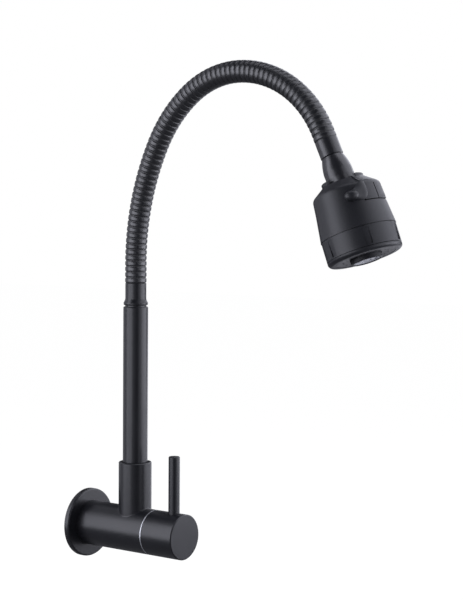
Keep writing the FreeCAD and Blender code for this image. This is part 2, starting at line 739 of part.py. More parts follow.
# Handle
def make_handle_shell():
    body = new_body("handle_shell", barrel_frame())
    bore = v.SpindleHead + v.Seat
    turned(body, "Turn", [
        (v.BarrelRadius - v.Gap, v.HandleFrom),
        (v.BarrelRadius, v.HandleFrom + v.Gap),
        (v.BarrelRadius, v.HandleFront - v.HandleBevel),
        (v.BarrelRadius - v.HandleBevel, v.HandleFront),
        (ZERO, v.HandleFront),
        (ZERO, v.SpindleEnd + v.Gap),
        (bore, v.SpindleEnd + v.Gap),
        (bore, v.HubFrom),
        (v.HubRadius, v.HubFrom),
        (v.HubRadius, v.HollowEnd),
        (v.HandleHollow, v.HollowEnd),
        (v.HandleHollow, v.HandleFrom),
    ])
    # Socket and thread of the lever, from above
    for name, radius, floor in (
        ("LeverSocket", v.LeverRadius + v.Seat, v.LeverFoot - v.Seat),
        ("LeverTapping", v.LeverThread + v.Seat, v.LeverThreadFoot - v.Seat),
    ):
        sketch = circle_sketch(body, name + "Circle", "XZ_Plane", -floor, ZERO, v.LeverOut, radius)
        drilled(body, name, sketch)
    # Grub screw's hole, from below
    sketch = circle_sketch(
        body, "GrubCircle", "XZ_Plane", None, ZERO, v.GrubAt, v.ScrewRadius + v.Seat
    )
    drilled(body, "GrubHole", sketch, backwards=True)


def make_lever_rod():
    body = new_body("lever_rod", upright_frame(v.LeverOut))
    turned(body, "Turn", [
        (ZERO, v.LeverThreadFoot),
        (v.LeverThread, v.LeverThreadFoot),
        (v.LeverThread, v.LeverFoot),
        (v.LeverRadius, v.LeverFoot),
        (v.LeverRadius, v.LeverTop - v.EdgeBreak),
        (v.LeverRadius - v.EdgeBreak, v.LeverTop),
        (ZERO, v.LeverTop),
    ])


def make_handle_screw():
    frame = FreeCAD.Placement(
        FreeCAD.Vector(0, -v.GrubAt.number, 0),
        FreeCAD.Rotation(FreeCAD.Vector(1, 0, 0), 180),
    )
    body = new_body("handle_screw", frame)
    tip = v.SpindleHead + v.Seat
    end = v.HubRadius + v.ScrewRadius
    hexagon = v.ScrewRadius / 2
    turned(body, "Turn", [
        (ZERO, tip),
        (v.ScrewRadius - v.EdgeBreak, tip),
        (v.ScrewRadius, tip + v.EdgeBreak),
        (v.ScrewRadius, end),
        (hexagon, end),
        (hexagon, end - v.ScrewRadius),
        (ZERO, end - v.ScrewRadius),
    ])


# Spout
def pole_foot():
    return v.WasherSeat + v.WasherThickness + v.Gap


def make_spout_pole():
    body = new_body("spout_pole", upright_frame(v.PoleOut))
    inner = v.PoleRadius - v.PoleWall
    turned(body, "Turn", [
        (inner, pole_foot()),
        (v.PoleRadius, pole_foot()),
        (v.PoleRadius, v.PoleTop - v.PoleRound, v.PoleRound, 1),
        (v.PoleRadius - v.PoleRound, v.PoleTop),
        (inner, v.PoleTop),
    ])


def ring_groove_radius():
    return v.TailRadius + v.Fit / 4 - v.RingSection * 2


def make_swivel_tail():
    body = new_body("swivel_tail", upright_frame(v.PoleOut))
    inside = v.PoleRadius - v.PoleWall - v.Seat
    groove = ring_groove_radius() - v.Seat
    half = v.RingSection + v.Gap / 2
    lug = v.ScrewRadius + v.Gap
    turned(body, "Turn", [
        (v.OutletBore, v.TailBottom),
        (v.TailRadius - v.EdgeBreak, v.TailBottom),
        (v.TailRadius, v.TailBottom + v.EdgeBreak),
        (v.TailRadius, v.LowerRingAt - half),
        (groove, v.LowerRingAt - half),
        (groove, v.LowerRingAt + half),
        (v.TailRadius, v.LowerRingAt + half),
        (v.TailRadius, v.ScrewAt - lug),
        (v.LugGroove, v.ScrewAt - lug),
        (v.LugGroove, v.ScrewAt + lug),
        (v.TailRadius, v.ScrewAt + lug),
        (v.TailRadius, v.UpperRingAt - half),
        (groove, v.UpperRingAt - half),
        (groove, v.UpperRingAt + half),
        (v.TailRadius, v.UpperRingAt + half),
        (v.TailRadius, pole_foot()),
        (inside, pole_foot()),
        (inside, pole_foot() + v.TailInPole),
        (v.OutletBore, pole_foot() + v.TailInPole),
    ])


def make_o_ring(name, height):
    ring = doc.addObject("Part::Torus", name)
    ring.Label = name
    centre = ring_groove_radius() + v.RingSection
    ring.Radius1 = centre.number
    ring.Radius2 = v.RingSection.number
    ring.setExpression("Radius1", centre.text)
    ring.setExpression("Radius2", v.RingSection.text)
    ring.setExpression("Placement.Base.y", (-v.PoleOut).text)
    ring.setExpression("Placement.Base.z", height.text)
    made.append(ring)


def make_hose_adapter():
    body = new_body("hose_adapter", upright_frame(v.PoleOut))
    inside = v.PoleRadius - v.PoleWall - v.Seat
    flank = (v.BeadRadius - v.AdapterNeck) / 4
    shelf = v.PoleTop + v.Seat
    turned(body, "Turn", [
        (v.WaterBore, v.PoleTop - v.AdapterInPole),
        (inside, v.PoleTop - v.AdapterInPole),
        (inside, shelf),
        (v.AdapterNeck, shelf),
        (v.AdapterNeck, v.BeadAt - v.BeadRadius / 7),
        (v.BeadRadius - flank, v.BeadAt - v.BeadRadius / 8, v.BeadRadius / 4, 1),
        (v.BeadRadius - flank, v.BeadAt + v.BeadRadius / 8),
        (v.AdapterWaist + flank, v.BeadAt + v.BeadRadius / 3.6, v.BeadRadius / 2, -1),
        (v.AdapterWaist, v.BeadAt + v.BeadRadius / 2),
        (v.AdapterWaist, v.AdapterTop - v.Gap),
        (v.AdapterWaist - v.Gap, v.AdapterTop),
        (v.StubRadius, v.AdapterTop),
        (v.StubRadius, v.AdapterTop + v.StubLength),
        (v.WaterBore, v.AdapterTop + v.StubLength),
    ])


# Gooseneck hose: straight runs and tangent arcs, with annular ribs
def hose_point(distance):
    """The point and heading at a distance along the centreline."""
    left = distance
    for kind, start, end, radius, turn, heading in ROUTE:
        length = (end - start).Length if kind == "run" else v.ArcLength.number
        if left <= length + 1e-9 or (kind, start) == (ROUTE[-1][0], ROUTE[-1][1]):
            break
        left -= length
    if kind == "run":
        return start + ALONG(heading) * left, heading
    angle = math.degrees(left / radius)
    centre = start + ALONG(heading - 90) * radius
    return centre - ALONG(heading - 90 - angle) * radius, heading - angle


def hose_length():
    return v.HoseFoot.number + v.ArcLength.number * 6 + v.HoseEnd.number


def make_gooseneck_hose():
    total = hose_length()
    count = int(v.RibCount.number)
    pitch = total / count
    flank = pitch * v.RibFlankShare.number
    crest = pitch * v.RibCrestShare.number
    root = pitch - crest - 2 * flank
    crest_radius = v.HoseCrest.number
    root_radius = v.HoseRoot.number
    rings = []
    for rib in range(count):
        at = rib * pitch + root / 2
        rings.append((at, root_radius))
        rings.append((at + flank, crest_radius))
        rings.append((at + flank + crest, crest_radius))
        rings.append((at + flank * 2 + crest, root_radius))
    rings = [(0.0, root_radius)] + rings + [(total, root_radius)]
    wires = []
    for at, radius in rings:
        point, heading = hose_point(at)
        circle = Part.Circle(point, ALONG(heading), radius)
        # The seam stays on one side of the hose
        circle.XAxis = FreeCAD.Vector(1, 0, 0)
        wires.append(Part.Wire([circle.toShape()]))
    outer = Part.makeLoft(wires, True, True)
    # The bore runs along the same centreline
    edges = []
    for kind, start, end, radius, turn, heading in ROUTE:
        if kind == "run":
            edges.append(Part.LineSegment(start, end).toShape())
        else:
            middle, tangent = hose_point_on_arc(start, radius, turn / 2, heading)
            edges.append(Part.Arc(start, middle, end).toShape())
    path = Part.Wire(edges)
    start, heading = hose_point(0.0)
    mouth = Part.Circle(start, ALONG(heading), v.HoseBore.number)
    mouth.XAxis = FreeCAD.Vector(1, 0, 0)
    bore = path.makePipe(Part.Face(Part.Wire([mouth.toShape()])))
    solid = outer.cut(bore)
    hose = doc.addObject("Part::Feature", "gooseneck_hose")
    hose.Label = "gooseneck_hose"
    hose.Shape = solid.Solids[0] if len(solid.Solids) == 1 else solid
    hose.Placement = FreeCAD.Placement()
    made.append(hose)
    wall = math.pi * (crest_radius ** 2 - v.HoseBore.number ** 2) * total
    radii = [round(step[3], 1) for step in ROUTE if step[0] == "arc"]
    print("hose length", round(total, 1), "pitch", round(pitch, 3), "arc radii", radii)
    print("hose volume", round(hose.Shape.Volume), "plain tube of the crest", round(wall))


def hose_point_on_arc(start, radius, angle, heading):
    centre = start + ALONG(heading - 90) * radius
    return centre - ALONG(heading - 90 - angle) * radius, heading - angle


# End of the hose: ferrule, ball nut and ball
def make_hose_ferrule():
    body = new_body("hose_ferrule", nut_frame())
    top = -v.HeadDatum
    low = v.FerruleLength - v.HeadDatum
    turned(body, "Turn", [
        (v.WaterBore, top - v.StubLength),
        (v.StubRadius, top - v.StubLength),
        (v.StubRadius, top),
        (v.FerruleRadius - v.Gap, top),
        (v.FerruleRadius, top + v.Gap),
        (v.FerruleRadius, low - v.EdgeBreak),
        (v.FerruleRadius - v.EdgeBreak, low),
        (v.ShankRadius, low),
        (v.ShankRadius, low + v.ShankLength),
        (v.WaterBore, low + v.ShankLength),
    ])


def make_ball_nut():
    body = new_body("ball_nut", nut_frame())
    bore = v.ShankRadius + v.Seat
    floor = v.NutBottom - v.NutFloor
    turned(body, "Turn", [
        (bore, -v.NutTop),
        (v.NutTopRadius, -v.NutTop, v.NutFlank, 1),
        (v.NutRadius, v.NutWideFrom),
        (v.NutRadius, v.NutWideTo),
        (v.NutBottomRadius + v.Gap, v.NutBottom - v.Gap),
        (v.NutBottomRadius, v.NutBottom),
        (v.StemRadius + v.Seat, v.NutBottom),
        (v.StemRadius + v.Seat, floor),
        (bore, floor),
    ])


def make_ball_stud():
    body = new_body("ball_stud", nut_frame())
    floor = v.NutBottom - v.NutFloor - v.Seat
    top = v.FerruleLength - v.HeadDatum + v.ShankLength + v.Gap
    turned(body, "Turn", [
        (v.BallBore, top),
        (v.ShankRadius, top),
        (v.ShankRadius, floor),
        (v.StemRadius, floor),
        (v.StemRadius, v.BallAt - v.BallRadius.beside(v.StemRadius), v.BallRadius, 1),
        (v.BallRadius, v.BallAt, v.BallRadius, 1),
        (v.BallBore, v.BallAt + v.BallRadius.beside(v.BallBore)),
    ])


def make_ball_seats():
    hollow = v.BallRadius + v.Fit
    split = v.Seat
    upper = new_body("ball_seat_upper", head_frame())
    nose = v.CollarLip - v.Gap
    shoulder = v.NeckTop + v.EdgeBreak * 2 + v.Seat
    turned(upper, "Turn", [
        (hollow.beside(v.SeatLip), v.BallAt - v.SeatLip),
        (nose, v.BallAt - v.SeatLip),
        (nose, shoulder),
        (v.SeatRadius, shoulder),
        (v.SeatRadius, v.BallAt - split),
        (hollow.beside(split), v.BallAt - split, hollow, -1),
    ])
    lower = new_body("ball_seat_lower", head_frame())
    turned(lower, "Turn", [
        (hollow.beside(split), v.BallAt + split),
        (v.SeatRadius, v.BallAt + split),
        (v.SeatRadius, v.BallAt + v.SeatDepth),
        (hollow.beside(v.SeatDepth), v.BallAt + v.SeatDepth, hollow, -1),
    ])


# Head
def skirt_radius():
    return v.GripRadius + v.SkirtProud


def spigot_radius():
    return v.GripRadius - v.GripWall


def mouth_radius():
    return v.GripRadius - v.GripShelf


def lower_cavity():
    return spigot_radius() - v.SpigotWall


def side_radius():
    return v.WaistRadius - v.SideTaper


def shoulder_radius():
    return v.WaistRadius - v.ShoulderInset


def recess_radius():
    return v.WaistRadius - v.WingThickness


def core_cavity():
    return recess_radius() - v.RecessWall


def make_neck_collar():
    body = new_body("neck_collar", head_frame())
    inner = v.SeatRadius + v.Fit
    turned(body, "Turn", [
        (v.CollarLip, v.NeckTop),
        (v.NeckRadius, v.NeckTop),
        (v.NeckRadius, v.NeckBottom),
        (inner, v.NeckBottom),
        (inner, v.NeckTop + v.EdgeBreak * 2),
        (v.CollarLip, v.NeckTop + v.EdgeBreak * 2),
    ])


def gasket_top():
    return v.BallAt + v.SeatDepth + v.Gap


def make_seat_gasket():
    simple_ring(
        "seat_gasket", head_frame(), v.WaterBore, v.SeatRadius,
        gasket_top(), gasket_top() + v.GasketThickness,
    )


def make_head_shell():
    body = new_body("head_shell", head_frame())
    turned(body, "Turn", [
        (v.NeckRadius + v.Seat, v.WellFloor),
        (v.WellRadius, v.WellFloor),
        (v.WellRadius, v.ShellTop),
        (v.WellRadius + v.Gap, v.ShellTop),
        (shoulder_radius(), v.ShoulderFrom, v.ShoulderCurve, 1),
        (side_radius(), v.SideFrom),
        (v.WaistRadius, v.WaistAt),
        (skirt_radius(), v.SeamAt),
        (spigot_radius(), v.SeamAt),
        (spigot_radius(), v.SpigotEnd),
        (lower_cavity(), v.SpigotEnd),
        (lower_cavity(), v.CavityFrom),
        (core_cavity(), v.CavityFrom),
        (core_cavity(), v.CoreFrom),
        (v.NeckRadius + v.Seat, v.CoreFrom),
    ])
    # Recess that the selector's wing travels in
    turned(
        body, "Recess", [
            (v.WellRadius - 1, v.ShellTop - 2),
            (skirt_radius() + 5, v.ShellTop - 2),
            (skirt_radius() + 5, v.RecessEnd),
            (recess_radius(), v.RecessEnd),
            (recess_radius(), v.WellFloor + v.RecessDrop),
            (v.WellRadius, v.WellFloor),
            (v.WellRadius - 1, v.WellFloor),
        ],
        angle=v.WingAngle + v.SelectorTurn + v.RecessSpare * 2,
        at=v.WingCentre - v.SelectorTurn / 2, cut=True,
    )


def make_selector():
    body = new_body("mode_selector", head_frame())
    low = v.WellFloor - v.Gap
    outer = v.WellRadius - v.Gap
    inner = v.NeckRadius + v.Fit
    turned(body, "Ring", [
        (inner, v.RingTop), (outer, v.RingTop), (outer, low), (inner, low),
    ])
    # Wing: over the shoulder and down the side, a little proud of the shell
    back = recess_radius() + v.Gap
    end = v.RecessEnd - v.RecessSpare / 2
    turned(
        body, "Wing", [
            (outer - v.EdgeBreak, v.ShellTop - v.WingProud),
            (v.WellRadius + v.Gap, v.ShellTop - v.WingProud),
            (shoulder_radius(), v.ShoulderFrom - v.WingProud, v.ShoulderCurve + v.WingProud, 1),
            (side_radius() + v.WingProud, v.SideFrom),
            (v.WaistRadius + v.WingProud, v.WaistAt),
            (v.WaistRadius + v.WingProud, end),
            (back, end),
            (back, low + v.RecessDrop),
            (v.WellRadius, low),
            (outer - v.EdgeBreak, low),
        ],
        angle=v.WingAngle, at=v.WingCentre,
    )
    # Finger to the side of the wing: a lofted knob that stands clear of the shell
    edge = v.WingCentre + v.WingAngle / 2
    inner_side = v.WaistRadius + v.FingerGap
    turned(
        body, "FingerRoot", [
            (back, v.FingerEdgeTop + v.FingerGap),
            (inner_side + v.Seat, v.FingerEdgeTop + v.FingerGap),
            (inner_side + v.Seat, v.FingerEdgeEnd - v.FingerGap),
            (back, v.FingerEdgeEnd - v.FingerGap),
        ],
        angle=v.FingerRootAt / 2, at=edge - v.FingerRootAt / 4,
    )
    sections = []
    sunk = inner_side - v.FingerRootSink
    for name, angle, side, top, foot, rise in (
        ("RootEnd", edge - v.FingerRootAt, sunk, v.FingerRootTop, v.FingerRootEnd, v.FingerRootRise),
        ("Edge", edge - v.RecessSpare, inner_side, v.FingerEdgeTop, v.FingerEdgeEnd, v.FingerEdgeRise),
        ("Web", edge + v.FingerWebAt, inner_side, v.FingerWebTop, v.FingerWebEnd, v.FingerWebRise),
        ("Knob", edge + v.FingerKnobAt, inner_side, v.FingerKnobTop, v.FingerKnobEnd, v.FingerKnobRise),
        ("Tip", edge + v.FingerTipAt, inner_side, v.FingerTipTop, v.FingerTipEnd, v.FingerTipRise),
        ("End", edge + v.FingerEndAt, inner_side, v.FingerEndTop, v.FingerEndEnd, v.FingerEndRise),
    ):
        half = (foot - top) / 2
        curve = (half * half + rise * rise) / (rise * 2)
        section = new_sketch(body, "Finger" + name, "XZ_Plane", angle=angle)
        outline(section, [(side, top, curve, 1), (side, foot)])
        sections.append(section)
    finger = body.newObject("PartDesign::AdditiveLoft", "Finger")
    finger.Profile = sections[0]
    finger.Sections = sections[1:]
    finger.Ruled = False
    finger.Closed = False
    for section in sections:
        section.Visibility = False
    # Rear wall round the back of the nut
    turned(
        body, "RearWall", [
            (v.YokeInner, v.YokeTop),
            (v.WellRadius, v.YokeTop),
            (v.WellRadius, v.ShellTop - v.Gap),
            (outer, v.ShellTop - v.Gap),
            (outer, low - v.EdgeBreak),
            (v.YokeInner, low - v.EdgeBreak),
        ],
        angle=v.YokeAngle, at=v.YokeCentre,
    )
    # Groove down the middle of the wing
    turned(
        body, "WingLine", [
            (side_radius() + v.WingProud - v.WingGroove, v.SideFrom),
            (v.WaistRadius + v.WingProud + 2, v.SideFrom),
            (v.WaistRadius + v.WingProud + 2, end + 1),
            (v.WaistRadius + v.WingProud - v.WingGroove, end + 1),
            (v.WaistRadius + v.WingProud - v.WingGroove, v.WaistAt),
        ],
        angle=v.RecessSpare * 1.5, at=v.WingCentre, cut=True,
    )


def make_grip_ring():
    body = new_body("grip_ring", head_frame())
    bore = spigot_radius() + v.Seat
    top = v.SeamAt + v.Gap
    turned(body, "Turn", [
        (bore, top),
        (v.GripRadius, top),
        (v.GripRadius, v.GripLineAt - v.GripLine / 2),
        (v.GripRadius - v.GripLine, v.GripLineAt),
        (v.GripRadius, v.GripLineAt + v.GripLine / 2),
        (v.GripRadius, v.GripEnd - v.GripRound, v.GripRound, 1),
        (v.GripRadius - v.GripRound, v.GripEnd),
        (mouth_radius(), v.GripEnd),
        (mouth_radius(), v.GripLip),
        (bore, v.GripLip),
    ])
    # Finger grooves: they deepen towards a ledge at their lower end
    groove = turned(
        body, "FingerGroove", [
            (v.GripRadius - v.GrooveDepth / 8, v.GrooveFrom),
            (v.GripRadius + v.GrooveDepth, v.GrooveFrom),
            (v.GripRadius + v.GrooveDepth, v.GrooveTo),
            (v.GripRadius - v.GrooveDepth, v.GrooveTo),
        ],
        angle=v.GrooveAngle, at=v.GroovePhase, cut=True,
    )
    doc.recompute()
    patterned(body, "FingerGrooves", groove, v.GrooveCount)


def make_spray_face():
    body = new_body("spray_face", head_frame())
    back = v.GripLip - v.Seat - v.FaceThickness
    front = v.GripLip - v.Seat
    bore = v.NozzleRadius + v.Gap
    turned(body, "Turn", [
        (bore, back),
        (spigot_radius() - v.FaceSpare, back),
        (spigot_radius() - v.FaceSpare, front),
        (mouth_radius() - v.Gap, front),
        (mouth_radius() - v.Gap, v.FaceFront),
        (bore, v.FaceFront),
    ])
    sketch = circle_sketch(
        body, "SprayCircle", "XY_Plane", back - 1, v.SprayAt, ZERO, v.SprayHole
    )
    hole = drilled(body, "SprayHole", sketch, backwards=True)
    doc.recompute()
    patterned(body, "SprayHoles", hole, v.SprayCount)


def nozzle_back():
    return v.GripLip - v.Seat - v.FaceThickness - v.CorePlateThickness + v.Gap


def make_aerator_housing():
    body = new_body("aerator_housing", head_frame())
    inner = v.NozzleRadius - v.NozzleWall
    shelf = nozzle_back() + v.FaceThickness - v.Gap
    turned(body, "Turn", [
        (inner - v.NozzleWall, nozzle_back()),
        (v.NozzleFlange, nozzle_back()),
        (v.NozzleFlange, shelf),
        (v.NozzleRadius, shelf),
        (v.NozzleRadius, v.NozzleEnd - v.EdgeBreak),
        (v.NozzleRadius - v.EdgeBreak, v.NozzleEnd),
        (inner, v.NozzleEnd),
        (inner, shelf + v.EdgeBreak),
        (inner - v.NozzleWall, shelf + v.EdgeBreak),
    ])


def make_aerator_insert():
    """The straightener in the nozzle, with two ring channels in its face."""
    body = new_body("aerator_insert", head_frame())
    outer = v.NozzleRadius - v.NozzleWall - v.Seat
    top = nozzle_back() + v.FaceThickness - v.Gap + v.EdgeBreak + v.Seat
    face = v.NozzleEnd - v.InsertDrop
    step = outer / 5
    floor = face - v.SprayHole
    turned(body, "Turn", [
        (ZERO, top),
        (outer, top),
        (outer, face),
        (step * 4, face), (step * 4, floor), (step * 3, floor), (step * 3, face),
        (step * 2, face), (step * 2, floor), (step, floor), (step, face),
        (ZERO, face),
    ])


def make_water_core():
    body = new_body("water_core", head_frame())
    top = gasket_top() + v.GasketThickness + v.Seat
    plate = v.NeckBottom + v.Seat * 10
    low = nozzle_back() - v.Seat
    turned(body, "Turn", [
        (v.WaterBore, top),
        (v.SeatRadius, top),
        (v.SeatRadius, plate + v.Gap),
        (core_cavity() - v.Gap, plate + v.Gap),
        (core_cavity() - v.Gap, plate + v.CorePlateThickness),
        (v.CoreTube, plate + v.CorePlateThickness),
        (v.CoreTube, low - v.CorePlateThickness),
        (lower_cavity() - v.PlateSpare, low - v.CorePlateThickness),
        (lower_cavity() - v.PlateSpare, low),
        (v.WaterBore, low),
    ])


# Build
make_wall_flange()
make_inlet_connector()
make_valve_body()
make_trim_ring()
make_collar_bush()
make_slip_washer()
make_spout_screw()
make_cartridge_seal()
SEAL, DISC, MOVING, FLANGE = cartridge_levels()
make_disc("fixed_disc", DISC, True)
make_disc("moving_disc", MOVING, False)
make_cartridge_body()
make_spindle()
make_handle_shell()
make_lever_rod()
make_handle_screw()
make_spout_pole()
make_swivel_tail()
make_o_ring("o_ring_lower", v.LowerRingAt)
make_o_ring("o_ring_upper", v.UpperRingAt)
make_hose_adapter()
make_gooseneck_hose()
make_hose_ferrule()
make_ball_nut()
make_ball_stud()
make_ball_seats()
make_neck_collar()
make_seat_gasket()
make_head_shell()
make_selector()
make_grip_ring()
make_spray_face()
make_aerator_housing()
make_aerator_insert()
make_water_core()
doc.recompute()

# Check, then write
for item in doc.Objects:
    if "Invalid" in item.State or "Error" in item.State:
        raise RuntimeError(f"{item.Name} ({item.Label}) failed: {item.State}")
os.makedirs("parts", exist_ok=True)
triangles = 0
for item in made:
    shape = item.Shape
    if shape.isNull() or not shape.isValid() or len(shape.Solids) != 1:
        raise RuntimeError(f"{item.Label}: not one valid solid")
    shape.exportStep(os.path.join("parts", item.Label + ".step"))
    facets = len(shape.tessellate(min(max(shape.BoundBox.DiagonalLength * 0.0002, 0.01), 0.5))[1])
    triangles += facets
    print(f"{item.Label}: {shape.Volume:.0f} mm3, {facets} triangles")
for name, frame in (("nut", nut_frame()), ("head", head_frame())):
    print(name, "datum", [round(x, 4) for x in frame.Base])
print("ball", [round(x, 4) for x in ball_centre()])
print("headings", round(HEADING, 3), "and", round(HEADING - v.HeadTilt.number, 3))
print("sub-parts", len(made), "triangles", triangles)
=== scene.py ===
import json
import math

import bmesh
import bpy
from bpy.props import (
    FloatProperty, FloatVectorProperty, IntProperty, PointerProperty,
)
from mathutils import Matrix, Vector


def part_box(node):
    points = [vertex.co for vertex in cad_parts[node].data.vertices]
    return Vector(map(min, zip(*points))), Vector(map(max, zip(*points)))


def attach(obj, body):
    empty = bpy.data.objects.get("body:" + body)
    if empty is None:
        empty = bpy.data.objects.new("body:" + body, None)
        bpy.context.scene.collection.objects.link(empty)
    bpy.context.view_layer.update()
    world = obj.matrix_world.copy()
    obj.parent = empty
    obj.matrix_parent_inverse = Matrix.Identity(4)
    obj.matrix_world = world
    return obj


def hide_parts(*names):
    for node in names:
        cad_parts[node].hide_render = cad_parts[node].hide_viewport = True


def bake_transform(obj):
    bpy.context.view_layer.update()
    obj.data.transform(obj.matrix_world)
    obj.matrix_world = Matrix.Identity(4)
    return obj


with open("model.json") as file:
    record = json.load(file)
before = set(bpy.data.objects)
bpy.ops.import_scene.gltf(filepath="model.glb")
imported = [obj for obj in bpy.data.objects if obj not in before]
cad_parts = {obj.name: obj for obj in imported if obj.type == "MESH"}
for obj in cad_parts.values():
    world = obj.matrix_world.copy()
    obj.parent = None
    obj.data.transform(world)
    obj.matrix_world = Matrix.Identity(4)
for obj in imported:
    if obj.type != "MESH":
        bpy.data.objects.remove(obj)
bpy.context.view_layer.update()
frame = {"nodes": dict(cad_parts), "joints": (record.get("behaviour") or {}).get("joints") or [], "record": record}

bl_info = {
    "name": "Wall tap with a bendable spout",
    "version": (1, 0, 0),
    "blender": (4, 5, 0),
    "location": "View3D > Sidebar > Tap",
    "description": "Ribbed hose, pipe thread, spray tips, finishes and studio of a kitchen tap",
    "category": "Object",
}

MM = 0.001
# How far apart the points of the hose's line are
LINE_STEP = 0.5 * MM


# The tap's own frames
def hose_start():
    """Centre of the shoulder that the hose stands on."""
    low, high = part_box("gooseneck_hose")
    pole_low, pole_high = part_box("spout_pole")
    return Vector((0.0, (pole_low.y + pole_high.y) / 2, low.z))


def head_matrix():
    """Turns the head's own coordinates, Z down its axis from the ball, into the tap's."""
    spin = next(joint for joint in frame["joints"] if joint["name"] == "head_spin")
    down = Vector(spin["axis"]).normalized()
    side = Vector((1.0, 0.0, 0.0))
    turn = Matrix((side, down.cross(side), down)).transposed().to_4x4()
    return Matrix.Translation(spin["pos_m"]) @ turn


def hose_line(sizes):
    """Points along the hose's middle, close together, from the tube to the head.

    The heading is an angle in the plane of the spout, from the wall side through up.
    """
    heading = math.pi / 2
    point = hose_start()
    points = [point.copy()]
    stretches = [(sizes.foot, 0.0)]
    stretches += [(sizes.arc_length, turn) for turn in sizes.turns]
    stretches += [(sizes.end, 0.0)]
    for stretch, turn in stretches:
        count = max(2, round(stretch / LINE_STEP))
        part = stretch / count
        bend = turn / count
        for _ in range(count):
            heading += bend / 2
            chord = part if bend == 0.0 else 2 * part / bend * math.sin(bend / 2)
            point = point + Vector((0.0, math.cos(heading), math.sin(heading))) * chord
            heading += bend / 2
            points.append(point.copy())
    return points


# Sizes and colours that a user would change
def length_property(name, description, millimetres):
    """A length, with its default in millimetres."""
    return FloatProperty(
        name=name, description=description, default=millimetres * MM,
        unit="LENGTH", subtype="DISTANCE", precision=5)


def angle_property(name, description, degrees):
    """An angle, with its default in degrees."""
    return FloatProperty(
        name=name, description=description, default=math.radians(degrees), unit="ROTATION")


def colour_property(name, description, default):
    """A colour whose three parts stay between 0 and 1."""
    return FloatVectorProperty(
        name=name, description=description, default=default, subtype="COLOR", min=0, max=1)


class HoseSizes(bpy.types.PropertyGroup):
    """The ribbed hose between the straight tube and the head"""

    ribs: IntProperty(name="Ribs", description="Ribs along the hose", default=70, min=3, max=200)
    crest: length_property("Crest radius", "Hose over its ribs", 9.5)
    root: length_property("Root radius", "Hose between its ribs", 8.7)
    bore: length_property("Bore radius", "Inside of the hose", 6.2)
    crest_share: FloatProperty(
        name="Crest share", description="Share of a rib's pitch that its rounded band takes",
        default=0.84, min=0.3, max=0.95, subtype="FACTOR")
    foot: length_property("Straight foot", "Straight start of the hose", 18)
    end: length_property("Straight end", "Straight end of the hose", 6.2)
    arc_length: length_property("Arc length", "Length of each of the gooseneck's arcs", 54.07)
    turns: FloatVectorProperty(
        name="Turns", description="Turn of each arc, from the tube to the head", size=6,
        default=[math.radians(t) for t in (13.5, 13.8, 25.4, 35.6, 32.8, 33.7)],
        unit="ROTATION")


class ThreadSizes(bpy.types.PropertyGroup):
    """The half-inch pipe thread behind the flange"""

    pitch: length_property("Pitch", "One turn of the thread", 1.814)
    depth: length_property("Depth", "Depth of the thread", 1.16)
    bore: length_property("Waterway", "Radius of the bore", 6.5)
    shank: length_property("Shank", "Radius of the plain end inside the barrel", 8.95)
    bevel: length_property("Bevel", "Bevel at the thread's start", 0.6)


class SpraySizes(bpy.types.PropertyGroup):
    """The spray plate in the head's mouth and its soft tips"""

    count: IntProperty(name="Tips", description="Spray tips round the nozzle", default=16, min=3)
    circle: length_property("Circle", "Radius of the circle that the tips stand on", 19)
    radius: length_property("Tip radius", "Middle of a tip's ring", 0.55)
    thick: length_property("Tip thickness", "Radius of the ring's own section", 0.15)
    edge: length_property("Plate edge", "Depth of the plate's edge below the ball's centre", 56.8)
    hollow: length_property("Plate hollow", "Depth of the plate beside the nozzle", 56.1)


class KnobSizes(bpy.types.PropertyGroup):
    """The rounded end of the mode selector's finger"""

    turn: angle_property("Place", "Round the head's axis", 142.2)
    level: length_property("Level", "Below the ball's centre", 11.4)
    inner: length_property("Inner side", "From the head's axis to the knob's inner side", 29.4)
    half_length: length_property("Half length", "Round the head", 5.7)
    half_height: length_property("Half height", "Along the head's axis", 4.3)
    rise: length_property("Rise", "Out of the inner side", 4.6)


class Finishes(bpy.types.PropertyGroup):
    """Colours of the tap's materials"""

    coat: colour_property(
        "Black coat", "Satin black coat on the metal", (0.0098, 0.0103, 0.0128))
    hose: colour_property(
        "Hose", "Black skin of the ribbed hose", (0.0098, 0.0103, 0.0128))
    plastic: colour_property(
        "Black plastic", "Moulded plastic of the head", (0.0140, 0.0148, 0.0180))
    nozzle: colour_property("Nozzle grey", "Grey plastic of the aerator", (0.64, 0.65, 0.68))
    brass: colour_property("Brass", "Bare machined brass", (0.78, 0.56, 0.26))


class StudioSizes(bpy.types.PropertyGroup):
    """Camera, floor and lights"""

    eye: FloatVectorProperty(
        name="Camera", description="Where the camera stands", subtype="XYZ", unit="LENGTH",
        default=(-1.08178, -0.97393, 0.29066))
    azimuth: angle_property("Azimuth", "Turn of the camera about the vertical", -53.140)
    elevation: angle_property("Elevation", "How far the camera looks down", 3.4375)
    roll: angle_property("Roll", "Turn of the picture", 0.427)
    lens: FloatProperty(name="Lens", description="Focal length in millimetres", default=96.155)
    floor_drop: length_property("Floor", "How far the floor lies below the barrel's axis", 350)
    far: length_property("Distance of lights", "From the tap's middle to each softbox", 1600)
    power: FloatProperty(
        name="Power of lights", description="Watts of a square metre of softbox at full strength",
        default=10.0)
    colour: FloatVectorProperty(
        name="Colour of lights", description="A little cooler than white", subtype="COLOR",
        default=(0.975, 0.985, 1.10), min=0, soft_max=2)
    ambient: FloatProperty(
        name="Room light", description="Strength of the light from all sides", default=0.055)


